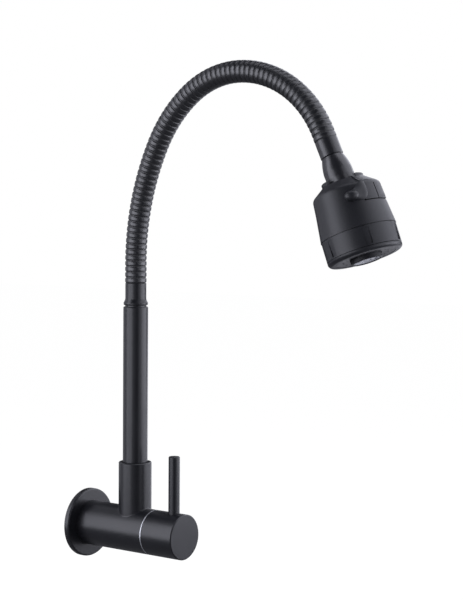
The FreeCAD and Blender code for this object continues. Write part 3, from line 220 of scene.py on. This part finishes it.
# Node trees written as expressions
class Wire:
    """A socket in an expression: arithmetic on it adds Math nodes to its tree."""

    def __init__(self, sheet, socket):
        self.sheet = sheet
        self.socket = socket

    def feed(self, node, name):
        """Links this socket to an input of a node that is already there."""
        self.sheet.tree.links.new(self.socket, node.inputs[name])

    def maths(self, operation, *terms):
        return self.sheet.put("ShaderNodeMath", {"operation": operation}, dict(enumerate(terms)))[0]

    def __add__(self, other):
        return self.maths("ADD", self, other)

    def __radd__(self, other):
        return self.maths("ADD", other, self)

    def __sub__(self, other):
        return self.maths("SUBTRACT", self, other)

    def __rsub__(self, other):
        return self.maths("SUBTRACT", other, self)

    def __mul__(self, other):
        return self.maths("MULTIPLY", self, other)

    def __rmul__(self, other):
        return self.maths("MULTIPLY", other, self)

    def __truediv__(self, other):
        return self.maths("DIVIDE", self, other)

    def __rtruediv__(self, other):
        return self.maths("DIVIDE", other, self)

    def __pow__(self, other):
        return self.maths("POWER", self, other)

    def __abs__(self):
        return self.maths("ABSOLUTE", self)

    def at_most(self, other):
        return self.maths("MINIMUM", self, other)

    def at_least(self, other):
        return self.maths("MAXIMUM", self, other)

    def fraction(self):
        return self.maths("FRACT", self)


class Sheet:
    """A node tree under construction."""

    def __init__(self, tree):
        self.tree = tree

    def put(self, kind, settings=None, values=None):
        """Adds a node: its settings first, then its sockets' numbers or wires."""
        node = self.tree.nodes.new(kind)
        for name, setting in (settings or {}).items():
            setattr(node, name, setting)
        for name, value in (values or {}).items():
            if isinstance(value, Wire):
                value.feed(node, name)
            else:
                node.inputs[name].default_value = value
        return Placed(self, node)


class Placed:
    """A node in a sheet; indexing it gives a wire from one of its outputs."""

    def __init__(self, sheet, node):
        self.sheet = sheet
        self.node = node

    def __getitem__(self, name):
        return Wire(self.sheet, self.node.outputs[name])


def empty_sheet(owner):
    """The node sheet of a new material or world, with its first nodes taken out."""
    owner.use_nodes = True
    owner.node_tree.nodes.clear()
    return Sheet(owner.node_tree)


# Finishes; the heights of their fine relief are in millimetres
GRAIN_HEIGHT = 0.006
TURNED_LINE_HEIGHT = 0.002
PLASTIC_NAME = "Black moulded plastic"


def new_finish(name):
    """An empty material with a Principled shader, and its sheet."""
    material = bpy.data.materials.new(name)
    sheet = empty_sheet(material)
    shader = sheet.put("ShaderNodeBsdfPrincipled")
    sheet.put("ShaderNodeOutputMaterial", values={"Surface": shader["BSDF"]})
    return material, sheet, shader.node


def noise(sheet, scale, detail=2.0, roughness=0.5):
    """Grey noise of that many spots to the metre, read at the piece's own place."""
    place = sheet.put("ShaderNodeTexCoord")["Object"]
    return sheet.put("ShaderNodeTexNoise", values={
        "Vector": place, "Scale": scale, "Detail": detail, "Roughness": roughness})["Fac"]


def swing(grey, amount):
    """What a grey noise adds to a value: nothing where it is at its middle."""
    return (grey - 0.5) * amount


def mix(sheet, factor, first, second):
    """A colour between two others, each of them four numbers or a wire."""
    return sheet.put("ShaderNodeMix", {"data_type": "RGBA"}, {
        "Factor": factor, 6: first, 7: second})[2]


def shade(colour, share):
    """A colour made darker or lighter, as four numbers."""
    red, green, blue = (min(1.0, part * share) for part in colour)
    return red, green, blue, 1.0


def mottle(sheet, patches, colour, darkest, lightest):
    """A colour that wanders in patches between two shares of itself."""
    return mix(sheet, patches, shade(colour, darkest), shade(colour, lightest))


def emboss(sheet, shader, height):
    """Gives a finish its fine relief, from a height in millimetres."""
    bump = sheet.put("ShaderNodeBump", values={
        "Strength": 1.0, "Distance": MM, "Height": height})
    bump["Normal"].feed(shader, "Normal")


def satin_black(name, colour, roughness, grain=3200.0, grain_height=GRAIN_HEIGHT,
                wave_height=0.012, specular=0.5):
    """Black coat or moulded plastic: fine grain over a faint wave, a little uneven in gloss."""
    material, sheet, shader = new_finish(name)
    patches = noise(sheet, 45.0, detail=3.0)
    fine = noise(sheet, grain, detail=3.0, roughness=0.6)
    wave = noise(sheet, 520.0, detail=1.0)
    mottle(sheet, patches, colour, 0.82, 1.20).feed(shader, "Base Color")
    (roughness + swing(patches, 0.10) + swing(fine, 0.10)).feed(shader, "Roughness")
    emboss(sheet, shader, fine * grain_height + wave * wave_height)
    shader.inputs["Specular IOR Level"].default_value = specular
    return material


def hose_skin(name, colour, roughness):
    """The hose's coat, duller in the grooves between its ribs, with painted shade darkening its colour there."""
    material, sheet, shader = new_finish(name)
    groove = sheet.put("ShaderNodeAttribute", {"attribute_name": "groove"})["Fac"]
    patches = noise(sheet, 60.0, detail=3.0)
    fine = noise(sheet, 3600.0, roughness=0.6)
    worn = mottle(sheet, patches, colour, 0.8, 1.25)
    # Painted shade: in the grooves between the ribs the colour darkens towards 0.35 of itself.
    mix(sheet, groove * 0.75, worn, shade(colour, 0.35)).feed(shader, "Base Color")
    (roughness + swing(patches, 0.10) + groove * 0.25).feed(shader, "Roughness")
    shader.inputs["Specular IOR Level"].default_value = 0.85
    emboss(sheet, shader, fine * GRAIN_HEIGHT)
    return material


def bright_metal(name, colour, roughness, lines=0.0):
    """Bare metal, with turned rings along the barrel's axis where it has them."""
    material, sheet, shader = new_finish(name)
    shader.inputs["Metallic"].default_value = 1.0
    patches = noise(sheet, 90.0, detail=3.0)
    mottle(sheet, patches, colour, 0.90, 1.05).feed(shader, "Base Color")
    (roughness + swing(patches, 0.08)).feed(shader, "Roughness")
    if lines:
        place = sheet.put("ShaderNodeTexCoord")["Object"]
        along = sheet.put("ShaderNodeVectorMath", {"operation": "MULTIPLY"}, {
            0: place, 1: (0.0, lines, 0.0)})["Vector"]
        rings = sheet.put("ShaderNodeTexNoise", values={
            "Vector": along, "Scale": 1.0, "Detail": 2.0})["Fac"]
        emboss(sheet, shader, rings * TURNED_LINE_HEIGHT)
    return material


def plain_plastic(name, colour, roughness):
    """Pale moulded plastic, rubber or ceramic."""
    material, sheet, shader = new_finish(name)
    patches = noise(sheet, 120.0)
    fine = noise(sheet, 1800.0)
    mottle(sheet, patches, colour, 0.92, 1.06).feed(shader, "Base Color")
    (roughness + swing(fine, 0.12)).feed(shader, "Roughness")
    emboss(sheet, shader, fine * GRAIN_HEIGHT)
    return material


# Pieces
def settle(obj, body, slot, *nodes):
    """Seats a finished piece: what it rides on and what it stands for, whose model pieces it hides. Its finish's
    slot is not used.
    """
    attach(obj, body)
    if nodes:
        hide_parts(*nodes)


def link_mesh(name, mesh):
    obj = bpy.data.objects.new(name, mesh)
    bpy.context.scene.collection.objects.link(obj)
    return obj


def wear(obj, material):
    obj.data.materials.clear()
    obj.data.materials.append(material)


def from_nodes(name, source, tree, inputs):
    """Runs a geometry node tree on a source object and returns its mesh as a plain object."""
    bpy.context.scene.collection.objects.link(source)
    modifier = source.modifiers.new("Making", "NODES")
    modifier.node_group = tree
    for item in tree.interface.items_tree:
        if item.item_type == "SOCKET" and item.in_out == "INPUT" and item.name in inputs:
            modifier[item.identifier] = inputs[item.name]
    depsgraph = bpy.context.evaluated_depsgraph_get()
    mesh = bpy.data.meshes.new_from_object(source.evaluated_get(depsgraph))
    mesh.name = name
    source.modifiers.remove(modifier)
    bpy.data.objects.remove(source)
    return link_mesh(name, mesh)


def new_tree(name, inputs):
    """A geometry node tree with a geometry input and output and these named sizes."""
    tree = bpy.data.node_groups.new(name, "GeometryNodeTree")
    tree.interface.new_socket("Geometry", in_out="INPUT", socket_type="NodeSocketGeometry")
    for label, kind in inputs:
        tree.interface.new_socket(label, in_out="INPUT", socket_type=kind)
    tree.interface.new_socket("Geometry", in_out="OUTPUT", socket_type="NodeSocketGeometry")
    sheet = Sheet(tree)
    return tree, sheet, sheet.put("NodeGroupInput")


def finish_tree(sheet, geometry, material):
    """Ends a tree in smooth, real geometry with its material set."""
    smooth = sheet.put("GeometryNodeSetShadeSmooth", values={"Geometry": geometry})["Geometry"]
    real = sheet.put("GeometryNodeRealizeInstances", values={"Geometry": smooth})["Geometry"]
    painted = sheet.put("GeometryNodeSetMaterial", values={
        "Geometry": real, "Material": material})["Geometry"]
    sheet.put("NodeGroupOutput", values={"Geometry": painted})


def steps_round(sides):
    """The angles of that many even steps round a circle."""
    return [2 * math.pi * side / sides for side in range(sides)]


def about_axis(radius, angle, depth):
    """A point in the head's own coordinates."""
    return Vector((radius * math.cos(angle), radius * math.sin(angle), depth))


def span_rings(shape, rings):
    """Spans each ring of vertices and the next by a band of faces."""
    for first, second in zip(rings, rings[1:]):
        for side, corner in enumerate(first):
            after = (side + 1) % len(first)
            shape.faces.new((corner, first[after], second[after], second[side]))


def finish_shape(name, shape, crease):
    """Ends mesh code in an object: faces outwards, smooth up to an angle in degrees."""
    bmesh.ops.recalc_face_normals(shape, faces=shape.faces)
    mesh = bpy.data.meshes.new(name)
    shape.to_mesh(mesh)
    shape.free()
    mesh.shade_smooth()
    mesh.set_sharp_from_angle(angle=math.radians(crease))
    return link_mesh(name, mesh)


# Ribbed hose
STEPS_PER_RIB = 14
BORE_STEPS_PER_RIB = 2
HOSE_SIDES = 64
# A rib's section is a rounded band: at a power of 2 it would be an ellipse
BAND_POWER = 4.0
# The cord in a groove: its height as a share of a rib's, and the groove's width to its own
CORD_HEIGHT = 0.28
GROOVE_TO_CORD = 1.6


def hose_tree():
    """Ribs along a curve: the radius follows a rounded band and a narrow groove at each pitch."""
    tree, sheet, given = new_tree("Hose ribs", [
        ("Ribs", "NodeSocketInt"), ("Crest radius", "NodeSocketFloat"),
        ("Root radius", "NodeSocketFloat"), ("Bore radius", "NodeSocketFloat"),
        ("Crest share", "NodeSocketFloat"), ("Steps", "NodeSocketInt"),
        ("Sides", "NodeSocketInt"), ("Material", "NodeSocketMaterial")])
    rings = given["Ribs"] * given["Steps"] + 1
    line = sheet.put("GeometryNodeResampleCurve", values={
        "Curve": given["Geometry"], "Count": rings})["Curve"]
    along = sheet.put("GeometryNodeSplineParameter")["Factor"]
    phase = (along * given["Ribs"]).fraction()
    from_crest = abs(phase - 0.5) * 2
    band = (from_crest / given["Crest share"]).at_most(1.0)
    swell = (1 - band ** BAND_POWER) ** 0.5
    groove_half = 1 - given["Crest share"]
    in_groove = (1 - (1 - from_crest) / groove_half * GROOVE_TO_CORD).at_least(0.0)
    cord = (in_groove * (2 - in_groove)) ** 0.5 * CORD_HEIGHT
    lift = swell.at_least(cord)
    height = given["Crest radius"] - given["Root radius"]
    radius = given["Root radius"] + height * lift
    # The groove mask, one less the rib's lift, which the hose skin reads for painted shade and a duller gloss.
    line = sheet.put("GeometryNodeStoreNamedAttribute", {
        "data_type": "FLOAT", "domain": "POINT"}, {
        "Geometry": line, "Name": "groove", "Value": 1 - lift})["Geometry"]
    ring = sheet.put("GeometryNodeCurvePrimitiveCircle", values={
        "Resolution": given["Sides"], "Radius": 1.0})["Curve"]
    outer = sheet.put("GeometryNodeCurveToMesh", values={
        "Curve": line, "Profile Curve": ring, "Scale": radius})["Mesh"]
    plain = sheet.put("GeometryNodeResampleCurve", values={
        "Curve": given["Geometry"], "Count": given["Ribs"] * BORE_STEPS_PER_RIB})["Curve"]
    inner = sheet.put("GeometryNodeCurveToMesh", values={
        "Curve": plain, "Profile Curve": ring, "Scale": given["Bore radius"]})["Mesh"]
    flipped = sheet.put("GeometryNodeFlipFaces", values={"Mesh": inner})["Mesh"]
    join = sheet.put("GeometryNodeJoinGeometry", values={"Geometry": outer})
    flipped.feed(join.node, "Geometry")
    finish_tree(sheet, join["Geometry"], given["Material"])
    return tree


def close_ends(mesh):
    """Joins a tube's outer and inner skins by a flat ring at each end."""
    shape = bmesh.new()
    shape.from_mesh(mesh)
    border = [edge for edge in shape.edges if edge.is_boundary]
    middle = sum((edge.verts[0].co.y for edge in border), 0.0) / len(border)
    for side in (True, False):
        ring = [edge for edge in border if (edge.verts[0].co.y > middle) == side]
        bmesh.ops.bridge_loops(shape, edges=ring)
    bmesh.ops.recalc_face_normals(shape, faces=shape.faces)
    shape.to_mesh(mesh)
    shape.free()
    mesh.shade_smooth()


class TAP_OT_hose(bpy.types.Operator):
    """Makes the ribbed hose along the gooseneck's arcs"""

    bl_idname = "tap.hose"
    bl_label = "Ribbed hose"

    def execute(self, context):
        sizes = context.scene.tap_hose
        points = hose_line(sizes)
        line = bpy.data.curves.new("hose_line", "CURVE")
        line.dimensions = "3D"
        spline = line.splines.new("POLY")
        spline.points.add(len(points) - 1)
        for spot, point in zip(spline.points, points):
            spot.co = (*point, 1.0)
        skin = hose_skin("Hose skin", context.scene.tap_finishes.hose, 0.31)
        hose = from_nodes("ribbed_hose", bpy.data.objects.new("hose_line", line), hose_tree(), {
            "Ribs": sizes.ribs, "Crest radius": sizes.crest, "Root radius": sizes.root,
            "Bore radius": sizes.bore, "Crest share": sizes.crest_share,
            "Steps": STEPS_PER_RIB, "Sides": HOSE_SIDES, "Material": skin})
        close_ends(hose.data)
        wear(hose, skin)
        start, end = points[0], points[-1]
        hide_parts("gooseneck_hose")
        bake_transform(hose)
        return {"FINISHED"}


# Threaded inlet
THREAD_SIDES = 72
STEPS_PER_TURN = 14
# A thread's flank: how steeply it falls over a pitch, and its start beyond the flat crest
FLANK_SLOPE = 2.6
FLANK_START = 0.2
# The plain collar between shank and thread, from the wall plane: its face, its bevel's start
# and end, how far the face is set in from the crests, and where the thread takes over
COLLAR_FACE = -0.95 * MM
COLLAR_BEVEL_START = -0.7 * MM
COLLAR_BEVEL_END = -0.4 * MM
COLLAR_INSET = 1.2 * MM
THREAD_FOOT = 1.2 * MM
# Bevels at the shank's end and at the waterway's mouth
SHANK_BEVEL = 0.3 * MM
MOUTH_BEVEL = 0.4 * MM


def thread_radius(sizes, crest, tip, y, angle):
    """The inlet's radius at a place along its axis and round it: thread, run-out and bevel."""
    phase = (y / sizes.pitch - angle / (2 * math.pi)) % 1.0
    flank = min(1.0, max(0.0, abs(phase - 0.5) * FLANK_SLOPE - FLANK_START))
    run_out = min(1.0, (y - THREAD_FOOT) / sizes.pitch)
    bevel = max(0.0, sizes.bevel - (tip - y))
    return crest - max(sizes.depth * flank * run_out, bevel)


class TAP_OT_inlet(bpy.types.Operator):
    """Cuts the pipe thread on the inlet connector"""

    bl_idname = "tap.inlet"
    bl_label = "Threaded inlet"

    def execute(self, context):
        sizes = context.scene.tap_thread
        low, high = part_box("inlet_connector")
        foot, tip, crest = low.y, high.y, high.x
        threaded = tip - THREAD_FOOT
        rows = round(threaded / sizes.pitch * STEPS_PER_TURN)
        angles = steps_round(THREAD_SIDES)
        outline = [(y, [radius] * THREAD_SIDES) for y, radius in (
            (foot, sizes.bore),
            (foot, sizes.shank - SHANK_BEVEL),
            (foot + SHANK_BEVEL, sizes.shank),
            (COLLAR_FACE, sizes.shank),
            (COLLAR_FACE, crest - COLLAR_INSET),
            (COLLAR_BEVEL_START, crest - COLLAR_INSET),
            (COLLAR_BEVEL_END, crest),
        )]
        for row in range(rows + 1):
            y = THREAD_FOOT + threaded * row / rows
            outline.append((y, [thread_radius(sizes, crest, tip, y, a) for a in angles]))
        outline.append((tip, [sizes.bore + MOUTH_BEVEL] * THREAD_SIDES))
        outline.append((tip - MOUTH_BEVEL, [sizes.bore] * THREAD_SIDES))

        shape = bmesh.new()
        rings = []
        for y, radii in outline:
            rings.append([
                shape.verts.new((radius * math.cos(a), y, radius * math.sin(a)))
                for radius, a in zip(radii, angles)])
        span_rings(shape, rings + rings[:1])
        inlet = finish_shape("threaded_inlet", shape, crease=35)
        wear(inlet, bright_metal("Turned brass", context.scene.tap_finishes.brass, 0.28, 2600.0))
        settle(inlet, "valve", "raw_brass", "inlet_connector")
        return {"FINISHED"}


# Spray plate: three radii, two depths below the ball's centre and two bevels
PLATE_SIDES = 96
PLATE_BORE = 13.3 * MM
PLATE_FLANGE = 28.5 * MM
PLATE_RIM = 24.6 * MM
PLATE_BACK = 49.35 * MM
PLATE_SHELF = 52.55 * MM
RIM_BEVEL = 0.15 * MM
BORE_BEVEL = 0.3 * MM
# The dish's slope: its outer radius, a little further in than the plate's edge, and its inner
# radius, a little further out than the hollow
DISH_OUTER = 21.0 * MM
DISH_OUTER_IN = 0.1 * MM
DISH_INNER = 16.5 * MM
DISH_INNER_OUT = 0.08 * MM
# Corners round a tip's ring, and round the ring's own section
TIP_SIDES = 20
TIP_SECTION_SIDES = 10


def tip_tree():
    """Soft tips on a circle: a small rounded ring at each point."""
    tree, sheet, given = new_tree("Spray tips", [
        ("Tips", "NodeSocketInt"), ("Circle", "NodeSocketFloat"), ("Tip radius", "NodeSocketFloat"),
        ("Tip thickness", "NodeSocketFloat"), ("Material", "NodeSocketMaterial")])
    circle = sheet.put("GeometryNodeMeshCircle", {"fill_type": "NONE"}, {
        "Vertices": given["Tips"], "Radius": given["Circle"]})["Mesh"]
    line = sheet.put("GeometryNodeCurvePrimitiveCircle", values={
        "Resolution": TIP_SIDES, "Radius": given["Tip radius"]})["Curve"]
    section = sheet.put("GeometryNodeCurvePrimitiveCircle", values={
        "Resolution": TIP_SECTION_SIDES, "Radius": given["Tip thickness"]})["Curve"]
    ring = sheet.put("GeometryNodeCurveToMesh", values={
        "Curve": line, "Profile Curve": section})["Mesh"]
    tips = sheet.put("GeometryNodeInstanceOnPoints", values={
        "Points": circle, "Instance": ring})["Instances"]
    finish_tree(sheet, tips, given["Material"])
    return tree


class TAP_OT_spray_plate(bpy.types.Operator):
    """Fills the head's mouth with a dished plate and its ring of soft tips"""

    bl_idname = "tap.spray_plate"
    bl_label = "Spray plate"

    def execute(self, context):
        sizes = context.scene.tap_spray
        plastic = bpy.data.materials[PLASTIC_NAME]
        place = head_matrix()
        shape = bmesh.new()
        rings = []
        for radius, depth in (
            (PLATE_BORE, PLATE_BACK),
            (PLATE_FLANGE, PLATE_BACK),
            (PLATE_FLANGE, PLATE_SHELF),
            (PLATE_RIM, PLATE_SHELF),
            (PLATE_RIM, sizes.edge - RIM_BEVEL),
            (PLATE_RIM - RIM_BEVEL, sizes.edge),
            (DISH_OUTER, sizes.edge - DISH_OUTER_IN),
            (DISH_INNER, sizes.hollow + DISH_INNER_OUT),
            (PLATE_BORE + BORE_BEVEL, sizes.hollow),
            (PLATE_BORE, sizes.hollow - BORE_BEVEL),
        ):
            rings.append([
                shape.verts.new(place @ about_axis(radius, angle, depth))
                for angle in steps_round(PLATE_SIDES)])
        span_rings(shape, rings + rings[:1])
        plate = finish_shape("spray_plate", shape, crease=30)
        wear(plate, plastic)
        settle(plate, "head", "black_plastic", "spray_face")

        source = bpy.data.objects.new("tip_source", bpy.data.meshes.new("tip_source"))
        tips = from_nodes("spray_tips", source, tip_tree(), {
            "Tips": sizes.count, "Circle": sizes.circle, "Tip radius": sizes.radius,
            "Tip thickness": sizes.thick, "Material": plastic})
        level = (sizes.edge + sizes.hollow) / 2
        tips.data.transform(place @ Matrix.Translation((0.0, 0.0, level)))
        wear(tips, plastic)
        settle(tips, "head", "black_plastic")
        return {"FINISHED"}


# Finger knob
KNOB_SIDES = 48
KNOB_ROWS = 12
# Powers under 1, which make the knob fuller than an ellipsoid from its foot up and round it
RISE_POWER = 0.85
ROUND_POWER = 0.9


def fuller(value):
    """A sine or cosine, drawn out towards its ends."""
    return math.copysign(abs(value) ** ROUND_POWER, value)


class TAP_OT_knob(bpy.types.Operator):
    """Rounds off the end of the mode selector's finger"""

    bl_idname = "tap.knob"
    bl_label = "Finger knob"

    def execute(self, context):
        sizes = context.scene.tap_knob
        place = head_matrix()
        shape = bmesh.new()
        rings = []
        for row in range(KNOB_ROWS):
            lean = math.pi / 2 * row / KNOB_ROWS
            share = math.cos(lean) ** RISE_POWER
            out = sizes.inner + sizes.rise * math.sin(lean)
            ring = []
            for angle in steps_round(KNOB_SIDES):
                along = share * sizes.half_length * fuller(math.cos(angle))
                across = share * sizes.half_height * fuller(math.sin(angle))
                spot = about_axis(out, sizes.turn + along / sizes.inner, sizes.level + across)
                ring.append(shape.verts.new(place @ spot))
            rings.append(ring)
        top = shape.verts.new(
            place @ about_axis(sizes.inner + sizes.rise, sizes.turn, sizes.level))
        span_rings(shape, rings)
        last = rings[-1]
        for side, corner in enumerate(last):
            shape.faces.new((corner, last[(side + 1) % KNOB_SIDES], top))
        shape.faces.new(rings[0])
        knob = finish_shape("finger_knob", shape, crease=50)
        wear(knob, bpy.data.materials[PLASTIC_NAME])
        settle(knob, "selector", "black_plastic")
        return {"FINISHED"}


class TAP_OT_finishes(bpy.types.Operator):
    """Gives every machined and moulded piece its finish"""

    bl_idname = "tap.finishes"
    bl_label = "Finishes"

    def execute(self, context):
        colours = context.scene.tap_finishes
        coat = satin_black("Satin black coat", colours.coat, 0.33)
        glossy = satin_black("Gloss black coat", colours.coat, 0.30, specular=0.75)
        by_slot = {
            "black_body": coat,
            "black_steel": coat,
            "raw_brass": bright_metal("Machined brass", colours.brass, 0.30, 2200.0),
            "chrome_ring": bright_metal("Turned bright ring", (0.60, 0.61, 0.63), 0.52),
            "steel": bright_metal("Bright steel", (0.56, 0.57, 0.58), 0.25),
            "ceramic": plain_plastic("White ceramic", (0.88, 0.87, 0.83), 0.12),
            "seal_rubber": plain_plastic("Black rubber", (0.02, 0.02, 0.02), 0.65),
            "bearing_plastic": plain_plastic("Bearing plastic", (0.74, 0.73, 0.69), 0.45),
            "bush_black": satin_black("Bush plastic", colours.plastic, 0.5),
            "black_plastic": satin_black(
                PLASTIC_NAME, colours.plastic, 0.42, grain=1500.0, grain_height=0.012,
                wave_height=0.010),
            "nozzle_plastic": plain_plastic("Nozzle plastic", colours.nozzle, 0.38),
            "hose_black": hose_skin("Spare hose skin", colours.hose, 0.40),
        }
        by_node = {"ball_nut": glossy, "hose_ferrule": glossy}
        slots = {row["node"]: row["material_slot"] for row in frame["record"]["subparts"]}
        for name, node in frame["nodes"].items():
            material = by_node.get(name, by_slot[slots[name]])
            for slot in node.material_slots:
                slot.material = material
        return {"FINISHED"}


# Studio: the tap's middle, which the softboxes face, and the floor's reach to each side
MIDDLE = Vector((0.0, -0.12, 0.17))
FLOOR_REACH = 8.0
# The floor's greys: as the tap sees it, as the camera sees it, and its glow for the camera
FLOOR_QUIET = 0.17
FLOOR_PAINT = 0.10
FLOOR_GLOW = 0.99
# A softbox above the tap narrows with its height, down to this share of its width
NARROWEST = 0.5
# Name, azimuth from the camera towards the picture's right, height in degrees, width and
# height of the box in degrees, its strength, and where it isn't 1 its share of the distance
SOFTBOXES = (
    ("Left near", -15, 0, 30, 30, 0.13),
    ("Left front", -45, 0, 30, 30, 0.88),
    ("Left", -75, 15, 30, 60, 0.90),
    ("Left back", -120, 15, 60, 60, 0.19),
    ("Right front", 45, 15, 30, 60, 0.31),
    ("Right", 90, 0, 60, 30, 0.98),
    ("Right raised", 90, 45, 60, 60, 0.53),
    ("Right back", 150, 30, 60, 30, 0.60),
    ("Behind", 165, 0, 30, 30, 0.35),
    ("Top", 0, 90, 40, 40, 0.40),
    ("Low behind", 139, -18, 38, 24, 0.29, 0.61),
)


def look_matrix(studio):
    """The camera's place and turn, worked out from the photograph's perspective."""
    a, e, r = studio.azimuth, studio.elevation, studio.roll
    right = Vector((math.cos(a), math.sin(a), 0.0))
    back = Vector((math.sin(a) * math.cos(e), -math.cos(a) * math.cos(e), math.sin(e)))
    up = back.cross(right)
    rolled_right = right * math.cos(r) + up * math.sin(r)
    rolled_up = up * math.cos(r) - right * math.sin(r)
    turn = Matrix((rolled_right, rolled_up, back)).transposed().to_4x4()
    return Matrix.Translation(studio.eye) @ turn


def softbox(studio, name, azimuth, rise, wide, tall, strength, share=1.0):
    """A rectangular light that faces the tap and isn't seen by the camera."""
    turn = look_matrix(studio).to_3x3()
    right, back = turn.col[0], turn.col[2]
    angle, up = math.radians(azimuth), math.radians(rise)
    level = back * math.cos(angle) + right * math.sin(angle)
    level.z = 0.0
    level.normalize()
    out = level * math.cos(up) + Vector((0.0, 0.0, math.sin(up)))
    far = studio.far * share
    lamp = bpy.data.lights.new(name, "AREA")
    lamp.shape = "RECTANGLE"
    lamp.size = 2 * far * math.tan(math.radians(wide / 2)) * max(NARROWEST, math.cos(up))
    lamp.size_y = 2 * far * math.tan(math.radians(tall / 2))
    lamp.energy = studio.power * strength * lamp.size * lamp.size_y
    lamp.color = studio.colour
    obj = bpy.data.objects.new(name, lamp)
    bpy.context.scene.collection.objects.link(obj)
    obj.location = MIDDLE + out * far
    obj.rotation_euler = out.to_track_quat("Z", "Y").to_euler()
    obj.visible_camera = False


def for_camera(sheet, others, camera):
    """Shows one shader to the camera and another to everything else."""
    seen = sheet.put("ShaderNodeLightPath")["Is Camera Ray"]
    return sheet.put("ShaderNodeMixShader", values={0: seen, 1: others, 2: camera})["Shader"]


def grey_paint(sheet, grey):
    return sheet.put("ShaderNodeBsdfDiffuse", values={"Color": (grey, grey, grey, 1.0)})["BSDF"]


def pale_floor():
    """A pale studio floor: bright where it is seen, quieter in what it throws on the tap."""
    material = bpy.data.materials.new("Pale floor")
    sheet = empty_sheet(material)
    quiet = grey_paint(sheet, FLOOR_QUIET)
    paint = grey_paint(sheet, FLOOR_PAINT)
    glow = sheet.put("ShaderNodeEmission", values={
        "Color": (1.0, 1.0, 1.0, 1.0), "Strength": FLOOR_GLOW})["Emission"]
    bright = sheet.put("ShaderNodeAddShader", values={0: paint, 1: glow})["Shader"]
    surface = for_camera(sheet, quiet, bright)
    sheet.put("ShaderNodeOutputMaterial", values={"Surface": surface})
    return material


def studio_world(studio):
    """A room that the camera sees as white and that lights the tap only dimly."""
    world = bpy.data.worlds.new("Studio")
    sheet = empty_sheet(world)
    dim = sheet.put("ShaderNodeBackground", values={
        "Color": (*studio.colour, 1.0), "Strength": studio.ambient})["Background"]
    white = sheet.put("ShaderNodeBackground", values={
        "Color": (1.0, 1.0, 1.0, 1.0), "Strength": 1.0})["Background"]
    surface = for_camera(sheet, dim, white)
    sheet.put("ShaderNodeOutputWorld", values={"Surface": surface})
    return world


class TAP_OT_stage(bpy.types.Operator):
    """Sets the pale floor, the soft lights and the camera"""

    bl_idname = "tap.stage"
    bl_label = "Studio"

    def execute(self, context):
        scene = context.scene
        studio = scene.tap_studio
        lens = bpy.data.cameras.new("Camera")
        lens.lens = studio.lens
        lens.sensor_width = 36.0
        lens.clip_start = 0.01
        camera = bpy.data.objects.new("Camera", lens)
        scene.collection.objects.link(camera)
        camera.matrix_world = look_matrix(studio)
        scene.camera = camera
        scene.view_settings.view_transform = "Standard"
        scene.world = studio_world(studio)

        corners = [(x * FLOOR_REACH, y * FLOOR_REACH, -studio.floor_drop)
                   for x, y in ((-1, -1), (1, -1), (1, 1), (-1, 1))]
        mesh = bpy.data.meshes.new("floor")
        mesh.from_pydata(corners, [], [(0, 1, 2, 3)])
        floor = link_mesh("floor", mesh)
        wear(floor, pale_floor())

        for row in SOFTBOXES:
            softbox(studio, *row)
        return {"FINISHED"}


class TAP_PT_panel(bpy.types.Panel):
    """Lists the tap's pieces and its studio"""

    bl_idname = "TAP_PT_panel"
    bl_label = "Wall tap"
    bl_space_type = "VIEW_3D"
    bl_region_type = "UI"
    bl_category = "Tap"

    def draw(self, context):
        for operator, name, group in ROWS:
            column = self.layout.column(align=True)
            column.operator(operator.bl_idname)
            sizes = getattr(context.scene, name)
            for size in group.__annotations__:
                column.prop(sizes, size)


# Each operator, the name of its sizes in the scene, and their class
ROWS = (
    (TAP_OT_finishes, "tap_finishes", Finishes),
    (TAP_OT_hose, "tap_hose", HoseSizes),
    (TAP_OT_inlet, "tap_thread", ThreadSizes),
    (TAP_OT_spray_plate, "tap_spray", SpraySizes),
    (TAP_OT_knob, "tap_knob", KnobSizes),
    (TAP_OT_stage, "tap_studio", StudioSizes),
)


def register():
    for operator, name, group in ROWS:
        bpy.utils.register_class(group)
        setattr(bpy.types.Scene, name, PointerProperty(type=group))
        bpy.utils.register_class(operator)
    bpy.utils.register_class(TAP_PT_panel)


def unregister():
    bpy.utils.unregister_class(TAP_PT_panel)
    for operator, name, group in reversed(ROWS):
        bpy.utils.unregister_class(operator)
        delattr(bpy.types.Scene, name)
        bpy.utils.unregister_class(group)


def main():
    register()
    # The finishes come first, because the spray plate and the knob wear one of them
    bpy.ops.tap.finishes()
    bpy.ops.tap.hose()
    bpy.ops.tap.inlet()
    bpy.ops.tap.spray_plate()
    bpy.ops.tap.knob()
    bpy.ops.tap.stage()


if __name__ == "__main__":
    main()
